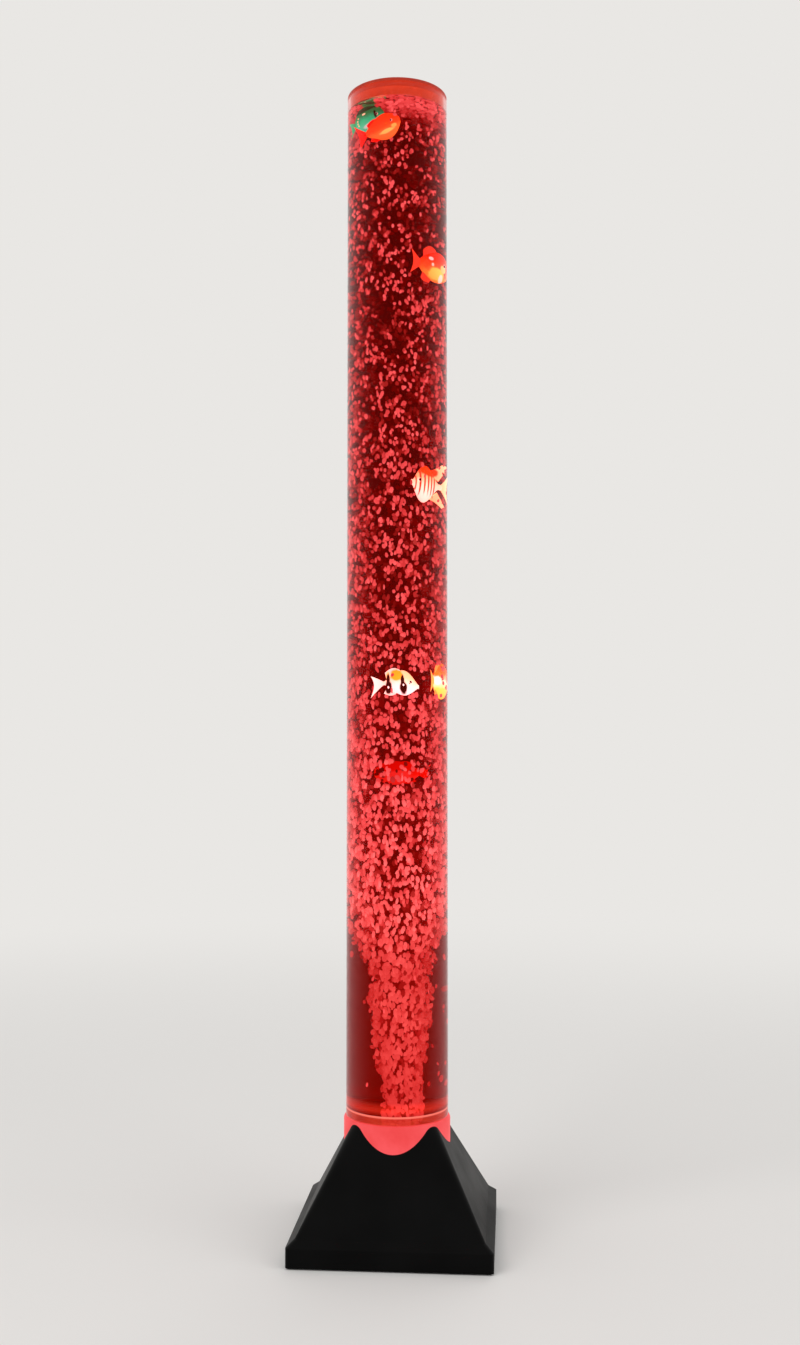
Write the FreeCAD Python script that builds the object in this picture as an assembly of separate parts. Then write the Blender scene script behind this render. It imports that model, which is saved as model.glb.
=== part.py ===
import FreeCAD, Part
import math
import os

# A bubble tube floor lamp: a clear water column in a translucent socket, on a black pyramid foot that holds
# the lights, the air pump and the electronics. Millimetres, +Z up, floor at z = 0, front face towards -Y.

# ---- whole lamp
total_height = 1200.0
base_side = 203.0
foot_stand_off = 1.5  # the rubber feet hold the shell this far off the floor
skirt_height = 18.5
shoulder_inset = 8.3
shoulder_rise = 6.9
face_lean = 27.6  # degrees from vertical
ridge_radius = 4.0  # up to the shoulder's top; from there the ridges grow rounder
peak_radius = 12.0  # where the sharp ridges would meet the sleeve's bore
shell_wall = 2.6

# ---- clearances
glue_gap = 0.15  # radial room for the glue around the tube
loose_gap = 0.3  # between curved faces that only lie close
screw_gap = 0.1
pilot_gap = 0.05  # a screw's thread in its pilot hole
running_gap = 0.06  # pin or plunger in its hole
barb_slack = 0.05  # the hose's bore is this much wider than the barb
cut_over = 1.0  # a cut runs this far past the face that it opens
fuse_in = 0.5  # joined forms reach this far into each other

# ---- water tube, water and lid
tube_diameter = 106.0
tube_wall = 3.0
water_gap = 18.0  # from the lid's top down to the water
lid_thickness = 3.0
lid_plug_depth = 5.0
lid_plug_wall = 2.0
lid_plug_chamfer = 0.5
lid_vent_radius = 1.8
lid_vent_place = 35.0  # from the middle
lid_dish_radius = 19.0
lid_dish_depth = 1.0
lid_edge_radius = 0.8

# ---- socket cup
seat_height = 66.0  # the cup's underside above the floor
collar_wall = 2.0
collar_height = 60.0  # above the seat
collar_lip = 0.4  # flat width of the collar's top edge
collar_round_drop = 4.8  # the rounded top edge runs this far down
cup_floor = 6.0
cup_fillet = 3.0
spigot_height = 69.0  # above the seat
spigot_wall = 2.6
spigot_round_drop = 0.8
seal_thickness = 2.0
cup_screw_circle = 100.0
cup_screw_count = 4
cup_screw_start = 45.0  # degrees, so that the screws stand under the peaks

# ---- shell inside
sleeve_wall = 2.6
flange_thickness = 3.0
flange_opening_radius = 44.0
pocket_reach = 10.0  # how far the corner hollows run up into the four peaks
rib_thickness = 2.2
rib_depth = 26.0
rib_drop = 12.0  # from the top of the hollows to the top of the ribs
boss_radius = 4.6
boss_inset = 16.0  # from the skirt's outer face to a corner boss

# ---- bottom cover and feet
cover_recess = 0.8
cover_thickness = 2.5
cover_corner_radius = 3.0
cover_rim_height = 2.0
cover_rim_wall = 1.6
foot_radius = 9.0
foot_edge_radius = 0.9
foot_inset = 34.0
foot_pocket = 1.0
vent_slot_width = 3.0
vent_slot_length = 34.0
vent_slot_count = 7
vent_slot_pitch = 8.0

# ---- screws
screw_radius = 1.45
screw_head_radius = 2.8
screw_head_height = 1.7
cover_screw_length = 12.0
cup_screw_length = 7.0
blind_room = 0.5  # a blind hole is this much deeper than its screw
small_screw_radius = 1.0
small_screw_head_radius = 1.9
small_screw_head_height = 1.2
case_screw_length = 8.0
cross_slot_width = 0.8

# ---- light ring
ring_outer_radius = 40.0
ring_inner_radius = 16.0
board_thickness = 1.6
ring_post_height = 4.0
ring_post_radius = 2.6
ring_post_circle = 70.0
ring_post_count = 3
lead_notch_width = 6.0
lead_notch_depth = 3.0
led_count = 12
led_size = 5.0
led_height = 1.5
led_lens_radius = 1.8
led_lens_depth = 0.25
led_circle = 56.0

# ---- air inlet and air stone
inlet_stem_radius = 4.0
inlet_flange_radius = 8.0
inlet_flange_height = 1.6
washer_thickness = 1.5
air_bore_radius = 1.2
inlet_nut_flats = 12.0
inlet_nut_height = 4.0
nut_chamfer = 0.9
inlet_stem_drop = 6.0  # below the nut
barb_length = 9.0
barb_steps = 3
barb_bite = 0.4  # depth of a barb's step
barb_lead = 0.6  # length of a barb's step
nipple_length = 9.0
stone_radius = 25.0
stone_height = 13.0
stone_edge_radius = 3.0
stone_fit = 0.1  # radial room between the stone and its cup
stone_cup_wall = 1.8
stone_cup_grip = 4.0  # how far the cup's wall stands up round the stone
stone_boss_height = 5.0
stone_boss_wall = 2.6
stone_boss_flare = 2.0
nipple_room = 0.7  # radial room for the nipple in the stone

# ---- air line
hose_radius = 3.0
hose_bore_radius = 2.0
pump_hose_bend = 18.0
inlet_hose_bend = 20.0
hose_corner_gap = 54.4  # from the right inner wall to the hose's run towards the back
nozzle_grip = 8.0  # length of hose pushed over a barb
hose_straight = 5.0  # straight hose between its bend and the valve's barb
valve_radius = 6.0
valve_neck_radius = 3.6
valve_groove = 0.8
valve_groove_half = 1.2
valve_length = 26.0
valve_collar_length = 5.0
valve_wall_gap = 26.0  # from the front inner wall to the valve's axis

# ---- air pump
pump_width = 52.0
pump_length = 88.0
pump_tray_height = 22.0
pump_lid_height = 12.0
pump_wall = 2.0
pump_corner_radius = 5.0
pump_edge_radius = 1.5
case_boss_radius = 3.4
case_boss_sink = 0.6  # how far a boss lies in the case's wall
case_screw_seat = 3.0  # the lid's thickness under a screw head
pump_side_gap = 20.0  # from the shell's left inner wall to the pump's case
pump_slot_count = 5
pump_slot_pitch = 4.0
pump_slot_width = 1.6
pump_slot_length = 22.0
pad_radius = 4.5
pad_waist = 0.8
pad_height = 3.0
pad_inset = 9.0
core_depth = 14.0
core_rest = 1.0  # the core stands on ribs this high
core_rest_width = 2.0
core_end_gap = 1.0
core_leg = 4.0
core_centre_leg = 6.0
core_slot = 6.0
core_back = 5.0
core_reach = 16.0
coil_length = 13.0
coil_end_gap = 0.4
coil_corner_radius = 1.6
coil_margin = 0.3
coil_sink = 0.6  # the winding ends this far inside the bobbin's flanges
bobbin_wall = 0.8
bobbin_corner_radius = 0.4
air_gap = 1.8  # from the core's poles to the magnet
magnet_thickness = 4.0
magnet_height = 12.0
magnet_width = 10.0
magnet_chamfer = 0.4
arm_width = 8.0
arm_thickness = 3.0
arm_plate_thickness = 1.5
arm_pivot_radius = 1.5
arm_eye_radius = 3.6
arm_eye_width = 9.0
arm_side_gap = 0.4
arm_length = 40.0  # pivot to magnet
pin_chamfer = 0.3
diaphragm_lever = 20.0  # pivot to diaphragm
diaphragm_gap = 0.2
diaphragm_radius = 10.5
diaphragm_rim = 1.2
diaphragm_wall = 1.4
bellows_top_radius = 5.8
arm_pad_radius = 5.2
valve_block_side = 27.0
valve_block_height = 6.0
valve_block_corner = 2.0
chamber_radius = 6.5
chamber_depth = 1.5
pump_post_width = 6.0
pump_post_thickness = 5.0

# ---- electronics at the back
board_length = 74.0
board_depth = 42.0
board_corner_radius = 1.5
board_stand = 1.2
board_stand_radius = 2.6
board_screw_inset = 5.0
board_screw_reach = 2.4  # below the board
board_wall_gap = 7.0  # from the shell's back inner wall to the board
chip_size = (10.0, 6.0, 1.8)
chip_place = (-3.0, 17.0)  # places on the board are from the middle of its front edge
driver_size = (10.0, 4.5, 12.0)
driver_place = (19.0, 8.3)
can_radius = 4.0
can_height = 9.0
can_edge_radius = 0.6
can_places = [(-20.0, 9.0), (-9.0, 9.0)]
plug_size = (8.0, 6.0, 7.0)
plug_wall = 0.8
plug_floor = 1.5
plug_places = [(2.0, 27.0), (28.0, 27.0)]
jack_offset = 42.0  # to the right of the centre line
jack_width = 9.0
jack_height = 10.0
jack_body_length = 13.0
jack_recess = 0.4  # the nose ends this far inside the skirt's face
jack_nose_radius = 4.3
jack_bore_radius = 3.1
jack_pin_radius = 1.05
jack_pin_recess = 1.2
jack_bore_depth = 9.5
jack_axis_rise = 5.5  # above the board
button_offset = 8.0
button_radius = 4.0
button_edge_radius = 0.7
button_recess = 0.3
button_travel = 0.8
button_flange_radius = 5.6
button_flange_height = 1.2
button_dish_radius = 7.5
button_dish_depth = 0.9
plunger_radius = 1.6
plunger_length = 3.0  # from the button's flange to the switch's face
plunger_grip = 1.0
plunger_room = 0.4  # left under the plunger when it is pressed
switch_width = 8.0
switch_depth = 4.6
switch_height = 9.0

# ---- fish: name, length, height, thickness, depth of the middle under the water, gap from the middle to the
# tube's wall, bearing round the tube's axis, turn of the nose about Z, tilt of the nose up
fish_table = [
    ("fish_teal", 38.0, 29.0, 9.0, 12.0, 16.4, -143.5, -17.0, 14.0),
    ("fish_orange", 47.0, 27.0, 9.5, 31.0, 13.5, -115.2, -15.5, 17.0),
    ("fish_red", 42.0, 44.0, 12.0, 168.0, 21.6, -10.1, 47.0, -4.0),
    ("fish_striped", 42.0, 42.0, 12.0, 402.0, 19.7, -13.3, 226.0, 4.0),
    ("fish_banded", 45.0, 31.0, 11.0, 609.0, 20.0, -89.4, 4.6, 0.0),
    ("fish_amber", 40.0, 39.0, 11.0, 607.0, 14.3, -6.4, 84.0, 0.0),
    ("fish_scarlet", 42.0, 26.0, 11.0, 703.0, 27.8, 82.2, 165.0, 0.0),
]
fin_thickness = 1.6
fish_rings = 10  # sections along a fish's body

# ---- sizes that follow from the ones above: foot, tube and socket
half_base = base_side / 2
inner_half = half_base - shell_wall
tan_lean = math.tan(math.radians(face_lean))
skirt_top = foot_stand_off + skirt_height
shoulder_top = skirt_top + shoulder_rise
face_foot_half = half_base - shoulder_inset
tube_radius = tube_diameter / 2
bore_radius = tube_radius - tube_wall
collar_inner_radius = tube_radius + glue_gap
collar_radius = collar_inner_radius + collar_wall
shell_bore_radius = collar_radius + loose_gap
sleeve_radius = shell_bore_radius + sleeve_wall
scallop_bottom = shoulder_top + (face_foot_half - shell_bore_radius) / tan_lean
peak_top = shoulder_top + (face_foot_half - shell_bore_radius * math.sqrt(0.5)) / tan_lean
pocket_top = scallop_bottom + pocket_reach
cup_floor_top = seat_height + cup_floor
tube_bottom = cup_floor_top + seal_thickness
tube_top = total_height - lid_thickness
water_top = total_height - water_gap
spigot_radius = bore_radius - glue_gap
flange_bottom = seat_height - flange_thickness
ring_top = seat_height - ring_post_height
ring_bottom = ring_top - board_thickness

# bottom cover
cover_bottom = foot_stand_off + cover_recess
cover_top = cover_bottom + cover_thickness
cover_half = inner_half - loose_gap
boss_place = half_base - boss_inset
foot_place = half_base - foot_inset

# air inlet and stone
barb_radius = hose_bore_radius - barb_slack
inlet_flange_bottom = cup_floor_top + washer_thickness
inlet_flange_top = inlet_flange_bottom + inlet_flange_height
nipple_top = inlet_flange_top + nipple_length
nut_bottom = seat_height - inlet_nut_height
stem_bottom = nut_bottom - inlet_stem_drop
barb_end = stem_bottom - barb_length
stone_cup_floor = inlet_flange_top + stone_boss_height
stone_bottom = stone_cup_floor + stone_cup_wall

# air pump, with its mechanism in line along Y
pump_x = -inner_half + pump_side_gap + pump_width / 2
pump_bottom = cover_top + pad_height
pump_floor = pump_bottom + pump_wall
pump_split = pump_bottom + pump_tray_height
pump_top = pump_split + pump_lid_height
block_top = pump_floor + valve_block_height
nozzle_z = pump_floor + valve_block_height / 2
nozzle_end_y = -pump_length / 2 - nozzle_grip
core_height = 2 * core_leg + 2 * core_slot + core_centre_leg
core_bottom = pump_floor + core_rest
core_back_y = pump_length / 2 - pump_wall - core_end_gap
core_root_y = core_back_y - core_back
core_face_y = core_root_y - core_reach
arm_z = core_bottom + core_height / 2
arm_bottom = arm_z - arm_thickness / 2
arm_top = arm_z + arm_thickness / 2
magnet_face_y = core_face_y - air_gap
arm_tip_y = magnet_face_y - magnet_thickness
pivot_y = arm_tip_y + magnet_thickness / 2 - arm_length
diaphragm_y = pivot_y + diaphragm_lever
bobbin_start = core_root_y - coil_end_gap - coil_length
bobbin_inner_x = core_depth / 2 + coil_margin
bobbin_inner_z = core_centre_leg / 2 + coil_margin
bobbin_reach_x = core_depth / 2 + core_slot - coil_margin
bobbin_reach_z = core_centre_leg / 2 + core_slot - coil_margin

# air line
valve_y = -inner_half + valve_wall_gap
valve_start = pump_x + pump_hose_bend + nozzle_grip + hose_straight
valve_end = valve_start + valve_length
hose_corner_x = inner_half - hose_corner_gap

# electronics
board_back = inner_half - board_wall_gap
board_front = board_back - board_depth
board_bottom = cover_top + board_stand
board_top = board_bottom + board_thickness
board_x = (jack_offset + button_offset) / 2
socket_z = board_top + jack_axis_rise
button_face = half_base - button_recess
button_flange_front = inner_half - loose_gap
button_flange_back = button_flange_front - button_flange_height
switch_face = button_flange_back - plunger_length
switch_back = switch_face - switch_depth


def vec(x, y, z):
    return FreeCAD.Vector(x, y, z)


def cylinder(radius, bottom, top, x=0.0, y=0.0):
    return Part.makeCylinder(radius, top - bottom, vec(x, y, bottom))


def cylinder_along_x(radius, start, end, y, z):
    return Part.makeCylinder(radius, end - start, vec(start, y, z), vec(1, 0, 0))


def cylinder_along_y(radius, start, end, x, z):
    return Part.makeCylinder(radius, end - start, vec(x, start, z), vec(0, 1, 0))


def ring(outer, inner, bottom, top):
    return cylinder(outer, bottom, top).cut(cylinder(inner, bottom, top))


def block(x0, x1, y0, y1, z0, z1):
    return Part.makeBox(x1 - x0, y1 - y0, z1 - z0, vec(x0, y0, z0))


def outline(points):
    """A flat face in the XZ plane from (x, z) points; a list of two points is an arc through the first."""
    edges = []
    here = points[0]
    for step in points[1:] + [points[0]]:
        if isinstance(step, list):
            through, end = step
            edges.append(Part.Arc(vec(here[0], 0, here[1]), vec(through[0], 0, through[1]),
                                  vec(end[0], 0, end[1])).toShape())
            here = end
        elif step != here:
            edges.append(Part.LineSegment(vec(here[0], 0, here[1]), vec(step[0], 0, step[1])).toShape())
            here = step
    return Part.Face(Part.Wire(edges))


def revolve(points):
    """A solid turned about Z from a closed outline of (radius, z) points."""
    return outline(points).revolve(vec(0, 0, 0), vec(0, 0, 1), 360)


def rounded_square(half_x, half_y, corner, z):
    """A closed wire: a rectangle with round corners, level at height z."""
    reach_x = half_x - corner
    reach_y = half_y - corner
    bulge = corner * math.sqrt(0.5)
    edges = []
    for turn in range(4):
        wide, deep = (reach_x, reach_y) if turn % 2 == 0 else (reach_y, reach_x)
        side = Part.LineSegment(vec(wide + corner, -deep, z), vec(wide + corner, deep, z)).toShape()
        bend = Part.Arc(vec(wide + corner, deep, z), vec(wide + bulge, deep + bulge, z),
                        vec(wide, deep + corner, z)).toShape()
        for edge in (side, bend):
            edge.rotate(vec(0, 0, 0), vec(0, 0, 1), 90 * turn)
            edges.append(edge)
    return Part.Wire(edges)


def rounded_plate(half_x, half_y, corner, bottom, top, x=0.0, y=0.0):
    plate = Part.Face(rounded_square(half_x, half_y, corner, bottom)).extrude(vec(0, 0, top - bottom))
    plate.translate(vec(x, y, 0))
    return plate


def around(piece, count, start=0.0):
    """Copies of a piece turned evenly about Z."""
    copies = []
    for number in range(count):
        copy = piece.copy()
        copy.rotate(vec(0, 0, 0), vec(0, 0, 1), start + 360.0 * number / count)
        copies.append(copy)
    return copies


def copies_at(piece, places):
    """Copies of a piece moved to each (x, y) place."""
    copies = []
    for x, y in places:
        copy = piece.copy()
        copy.translate(vec(x, y, 0))
        copies.append(copy)
    return copies


def corner_places(reach_x, reach_y, x=0.0, y=0.0):
    return [(x + side * reach_x, y + end * reach_y) for side in (-1, 1) for end in (-1, 1)]


def edges_at_height(shape, z):
    return [edge for edge in shape.Edges
            if abs(edge.BoundBox.ZMin - z) < 0.01 and abs(edge.BoundBox.ZMax - z) < 0.01]


def pyramid(skin, bottom, top):
    """The foot's outer form between two heights, drawn in by a skin: skirt, sloping shoulder, leaning faces."""
    slope = math.hypot(shoulder_inset, shoulder_rise)
    shoulder_start = skirt_top - skin * (slope - shoulder_rise) / shoulder_inset
    # the drawn-in shoulder line meets the drawn-in face line
    lean = math.radians(face_lean)
    shoulder_out, shoulder_up = shoulder_rise / slope, shoulder_inset / slope
    face_out, face_up = math.cos(lean), math.sin(lean)
    shoulder_far = shoulder_out * half_base + shoulder_up * skirt_top - skin
    face_far = face_out * face_foot_half + face_up * shoulder_top - skin
    cross = shoulder_out * face_up - face_out * shoulder_up
    face_start_half = (shoulder_far * face_up - face_far * shoulder_up) / cross
    face_start = (shoulder_out * face_far - face_out * shoulder_far) / cross
    top_half = face_start_half - (top - face_start) * tan_lean
    top_corner = ridge_radius + (peak_radius - ridge_radius) * (top - shoulder_top) / (peak_top - shoulder_top)
    levels = [(half_base - skin, ridge_radius, bottom), (half_base - skin, ridge_radius, shoulder_start),
              (face_start_half, ridge_radius, face_start), (top_half, top_corner, top)]
    wires = [rounded_square(half, half, max(corner - skin, 1.0), height) for half, corner, height in levels]
    bands = [Part.makeLoft([low, high], True, True) for low, high in zip(wires, wires[1:])]
    return bands[0].fuse(bands[1:]).removeSplitter()


def hose(points, bend):
    """A hose along straight runs joined by tangent arcs of one radius."""
    edges = []
    here = points[0]
    for corner, after in zip(points[1:], points[2:]):
        come = (corner - here).normalize()
        go = (after - corner).normalize()
        turn = come.getAngle(go)
        back = bend * math.tan(turn / 2)
        start = corner - come * back
        end = corner + go * back
        inward = (go - come).normalize()
        middle = corner + inward * (bend / math.cos(turn / 2) - bend)
        edges.append(Part.LineSegment(here, start).toShape())
        edges.append(Part.Arc(start, middle, end).toShape())
        here = end
    edges.append(Part.LineSegment(here, points[-1]).toShape())
    path = Part.Wire(edges)
    direction = points[1] - points[0]
    tubes = []
    for radius in (hose_radius, hose_bore_radius):
        section = Part.Wire(Part.Circle(points[0], direction, radius).toShape())
        tubes.append(path.makePipeShell([section], True, False))
    print("hose length", round(path.Length, 1), "bend radius", bend)
    return tubes[0].cut(tubes[1])


def cross_slot(reach, bottom, top):
    """A cross for a driver, centred on Z."""
    half = cross_slot_width / 2
    bar = block(-reach, reach, -half, half, bottom, top)
    return bar.fuse(around(bar, 1, 90.0))


def screw(radius, length, head_radius, head_height, point_up=True):
    """A pan head screw whose head's underside is at z = 0; the shank points up."""
    shape = revolve([(0.0, length), (radius * 0.4, length), (radius, length - radius), (radius, 0.0),
                     (head_radius, 0.0), (head_radius, -head_height * 0.5), (head_radius * 0.7, -head_height),
                     (0.0, -head_height)])
    shape = shape.cut(cross_slot(head_radius * 0.55, -head_height, -head_height * 0.45))
    if not point_up:
        shape.rotate(vec(0, 0, 0), vec(1, 0, 0), 180)
    return shape


# ---- the foot


def base_shell():
    """Moulded pyramid with the round sleeve, whose bore leaves four peaks and four scallops at the top."""
    outer = pyramid(0.0, foot_stand_off, peak_top)
    hollow = pyramid(shell_wall, foot_stand_off - cut_over, pocket_top)
    shell = outer.cut(hollow.cut(cylinder(sleeve_radius, flange_bottom, peak_top)))
    shell = shell.cut(cylinder(shell_bore_radius, seat_height, peak_top + cut_over))
    shell = shell.cut(cylinder(flange_opening_radius, flange_bottom - cut_over, seat_height + cut_over))

    # stiffening ribs from the sleeve to the four faces, and corner bosses for the cover's screws
    rib_top = pocket_top - rib_drop
    rib = block(sleeve_radius - cut_over, half_base, -rib_thickness / 2, rib_thickness / 2,
                rib_top - rib_depth, rib_top)
    boss = cylinder(boss_radius, cover_top, flange_bottom)
    inside = around(rib, 4) + copies_at(boss, corner_places(boss_place, boss_place))
    shell = shell.fuse(Part.makeCompound(inside).common(outer)).removeSplitter()

    pilot = cylinder(screw_radius + pilot_gap, cover_top - cut_over, cover_top + cover_screw_length)
    through = cylinder(screw_radius + screw_gap, flange_bottom - cut_over, seat_height + cut_over,
                       cup_screw_circle / 2)
    cuts = copies_at(pilot, corner_places(boss_place, boss_place))
    cuts += around(through, cup_screw_count, cup_screw_start)

    # inlet hole and button hole with its finger dish, in the back of the skirt
    for radius, x in ((jack_nose_radius, jack_offset), (button_radius, button_offset)):
        cuts.append(cylinder_along_y(radius + loose_gap, inner_half - cut_over, half_base + cut_over,
                                     x, socket_z))
    dish_ball = (button_dish_radius ** 2 + button_dish_depth ** 2) / (2 * button_dish_depth)
    dish_y = half_base + dish_ball - button_dish_depth
    cuts.append(Part.makeSphere(dish_ball, vec(button_offset, dish_y, socket_z)))
    return shell.cut(cuts)


def bottom_cover():
    """Flat plate with foot pockets, countersunk screw holes, air slots, board stands and an edge upstand."""
    plate = rounded_plate(cover_half, cover_half, cover_corner_radius, cover_bottom, cover_top)
    pocket = cylinder(foot_radius + loose_gap / 2, cover_bottom - cut_over, cover_bottom + foot_pocket)
    wide = screw_head_radius + screw_gap
    narrow = screw_radius + screw_gap
    sink = revolve([(0.0, cover_bottom - cut_over), (wide, cover_bottom - cut_over),
                    (wide, cover_bottom + screw_gap), (narrow, cover_bottom + screw_head_height),
                    (narrow, cover_top + cut_over), (0.0, cover_top + cut_over)])
    slot = rounded_plate(vent_slot_length / 2, vent_slot_width / 2, vent_slot_width / 2 - screw_gap / 2,
                         cover_bottom - cut_over, cover_top + cut_over)
    rows = [(number - (vent_slot_count - 1) / 2) * vent_slot_pitch for number in range(vent_slot_count)]
    slot_x = vent_slot_pitch + vent_slot_length / 2
    cuts = copies_at(pocket, corner_places(foot_place, foot_place))
    cuts += copies_at(sink, corner_places(boss_place, boss_place))
    cuts += copies_at(slot, [(x, y) for x in (-slot_x, slot_x) for y in rows])
    plate = plate.cut(cuts)

    rim_top = cover_top + cover_rim_height
    rim = rounded_plate(cover_half, cover_half, cover_corner_radius, cover_top, rim_top)
    rim_inside = cover_half - cover_rim_wall
    rim = rim.cut(rounded_plate(rim_inside, rim_inside, cover_corner_radius - cover_rim_wall,
                                cover_top, rim_top))
    stands = copies_at(cylinder(board_stand_radius, cover_top, board_bottom), board_screw_places())
    plate = plate.fuse(stands + [rim]).removeSplitter()
    pilot = cylinder(small_screw_radius + pilot_gap, board_bottom - board_screw_reach - blind_room,
                     board_bottom + cut_over)
    return plate.cut(copies_at(pilot, board_screw_places()))


def cover_screws():
    """Countersunk screws, whose heads lie in the cover."""
    head_face = cover_bottom + screw_gap
    tip = cover_bottom + cover_screw_length
    one = revolve([(0.0, head_face), (screw_head_radius, head_face),
                   (screw_radius, cover_bottom + screw_head_height + screw_gap / 2),
                   (screw_radius, tip - screw_radius), (screw_radius * 0.3, tip), (0.0, tip)])
    one = one.cut(cross_slot(screw_head_radius * 0.57, cover_bottom, cover_bottom + screw_head_height * 0.53))
    return Part.makeCompound(copies_at(one, corner_places(boss_place, boss_place)))


def rubber_feet():
    top = cover_bottom + foot_pocket
    shy = foot_edge_radius * (1 - math.sqrt(0.5))
    foot = revolve([(0.0, 0.0), (foot_radius - foot_edge_radius, 0.0),
                    [(foot_radius - shy, shy), (foot_radius, foot_edge_radius)],
                    (foot_radius, top), (0.0, top)])
    return Part.makeCompound(copies_at(foot, corner_places(foot_place, foot_place)))


# ---- socket, tube and lid


def tube_socket():
    """Translucent cup: the outer collar shows in the scallops, the inner spigot stands inside the tube."""
    collar_top = seat_height + collar_height
    spigot_top = seat_height + spigot_height
    spigot_shoulder = spigot_top - spigot_round_drop
    spigot_inner = spigot_radius - spigot_wall
    edge = collar_wall - collar_lip
    shy = cup_fillet * (1 - math.sqrt(0.5))
    cup = revolve([(0.0, seat_height), (collar_radius, seat_height),
                   (collar_radius, collar_top - collar_round_drop),
                   [(collar_radius - edge * 0.3, collar_top - collar_round_drop * 0.3),
                    (collar_radius - edge, collar_top)],
                   (collar_inner_radius, collar_top), (collar_inner_radius, cup_floor_top),
                   (spigot_radius, cup_floor_top), (spigot_radius, spigot_shoulder),
                   [(spigot_radius - spigot_wall / 2, spigot_top), (spigot_inner, spigot_shoulder)],
                   (spigot_inner, cup_floor_top + cup_fillet),
                   [(spigot_inner - shy, cup_floor_top + shy), (spigot_inner - cup_fillet, cup_floor_top)],
                   (0.0, cup_floor_top)])
    post = cylinder(ring_post_radius, ring_top, seat_height, ring_post_circle / 2)
    cup = cup.fuse(around(post, ring_post_count))
    pilot = cylinder(small_screw_radius + pilot_gap, ring_top - cut_over, seat_height + blind_room,
                     ring_post_circle / 2)
    blind = cylinder(screw_radius + pilot_gap, seat_height - cut_over,
                     flange_bottom + cup_screw_length + blind_room, cup_screw_circle / 2)
    stem = cylinder(inlet_stem_radius + screw_gap, seat_height - cut_over, cup_floor_top + cut_over)
    return cup.cut([*around(pilot, ring_post_count), *around(blind, cup_screw_count, cup_screw_start), stem])


def cup_screws():
    one = screw(screw_radius, cup_screw_length, screw_head_radius, screw_head_height)
    one.translate(vec(cup_screw_circle / 2, 0, flange_bottom))
    return Part.makeCompound(around(one, cup_screw_count, cup_screw_start))


def tube_seal():
    return ring(tube_radius, bore_radius, cup_floor_top, tube_bottom)


def water_tube():
    return ring(tube_radius, bore_radius, tube_bottom, tube_top)


def lid():
    """Plate with a rounded edge, a plug ring that centres it in the tube, a shallow dish and an air vent."""
    plug_outer = bore_radius - loose_gap
    plug_inner = plug_outer - lid_plug_wall
    plug_bottom = tube_top - lid_plug_depth
    dish_floor = total_height - lid_dish_depth
    shape = revolve([(0.0, tube_top), (plug_inner, tube_top), (plug_inner, plug_bottom),
                     (plug_outer - lid_plug_chamfer, plug_bottom),
                     (plug_outer, plug_bottom + lid_plug_chamfer), (plug_outer, tube_top),
                     (tube_radius, tube_top), (tube_radius, total_height - lid_edge_radius),
                     [(tube_radius - lid_edge_radius * 0.3, total_height - lid_edge_radius * 0.3),
                      (tube_radius - lid_edge_radius, total_height)],
                     (lid_dish_radius + lid_dish_depth, total_height), (lid_dish_radius, dish_floor),
                     (0.0, dish_floor)])
    return shape.cut(cylinder(lid_vent_radius, tube_top - cut_over, total_height + cut_over, lid_vent_place))


# ---- lights under the socket


def light_ring():
    """Ring board with its screw holes and a notch for the leads."""
    board = ring(ring_outer_radius, ring_inner_radius, ring_bottom, ring_top)
    hole = cylinder(small_screw_radius + screw_gap, ring_bottom - cut_over, ring_top + cut_over,
                    ring_post_circle / 2)
    notch = block(-lead_notch_width / 2, lead_notch_width / 2, -ring_outer_radius - cut_over,
                  -ring_outer_radius + lead_notch_depth, ring_bottom - cut_over, ring_top + cut_over)
    return board.cut([*around(hole, ring_post_count), notch])


def light_chips():
    """Square light packages with a shallow round lens well, between the screws."""
    half = led_size / 2
    x = led_circle / 2
    led_top = ring_top + led_height
    chip = block(x - half, x + half, -half, half, ring_top, led_top)
    chip = chip.cut(cylinder(led_lens_radius, led_top - led_lens_depth, led_top + cut_over, x))
    return Part.makeCompound(around(chip, led_count, 180.0 / led_count))


def ring_screws():
    one = screw(small_screw_radius, board_thickness + ring_post_height, small_screw_head_radius,
                small_screw_head_height)
    one.translate(vec(ring_post_circle / 2, 0, ring_bottom))
    return Part.makeCompound(around(one, ring_post_count))


# ---- air inlet and air stone in the cup's floor


def air_inlet():
    """Threaded stem through the cup's floor, with a hose barb below and a nipple for the stone above."""
    points = [(air_bore_radius, nipple_top), (barb_radius, nipple_top), (barb_radius, inlet_flange_top),
              (inlet_flange_radius, inlet_flange_top), (inlet_flange_radius, inlet_flange_bottom),
              (inlet_stem_radius, inlet_flange_bottom), (inlet_stem_radius, stem_bottom)]
    for number in range(barb_steps):
        height = stem_bottom - barb_length * number / barb_steps
        points += [(barb_radius - barb_bite, height), (barb_radius, height - barb_lead)]
    points += [(barb_radius - barb_bite, barb_end), (air_bore_radius, barb_end)]
    return revolve(points)


def inlet_washer():
    return ring(inlet_flange_radius, inlet_stem_radius + screw_gap, cup_floor_top, inlet_flange_bottom)


def inlet_nut():
    """Hexagon nut with its lower corners chamfered."""
    reach = inlet_nut_flats / math.sqrt(3)
    corners = [vec(reach * math.cos(math.radians(60 * n)), reach * math.sin(math.radians(60 * n)), nut_bottom)
               for n in range(7)]
    nut = Part.Face(Part.makePolygon(corners)).extrude(vec(0, 0, inlet_nut_height))
    cone = revolve([(0.0, nut_bottom), (inlet_nut_flats / 2 - loose_gap, nut_bottom),
                    (reach + loose_gap, nut_bottom + nut_chamfer), (reach + loose_gap, seat_height),
                    (0.0, seat_height)])
    bore = cylinder(inlet_stem_radius + screw_gap, nut_bottom - cut_over, seat_height + cut_over)
    return nut.common(cone).cut(bore)


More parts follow.
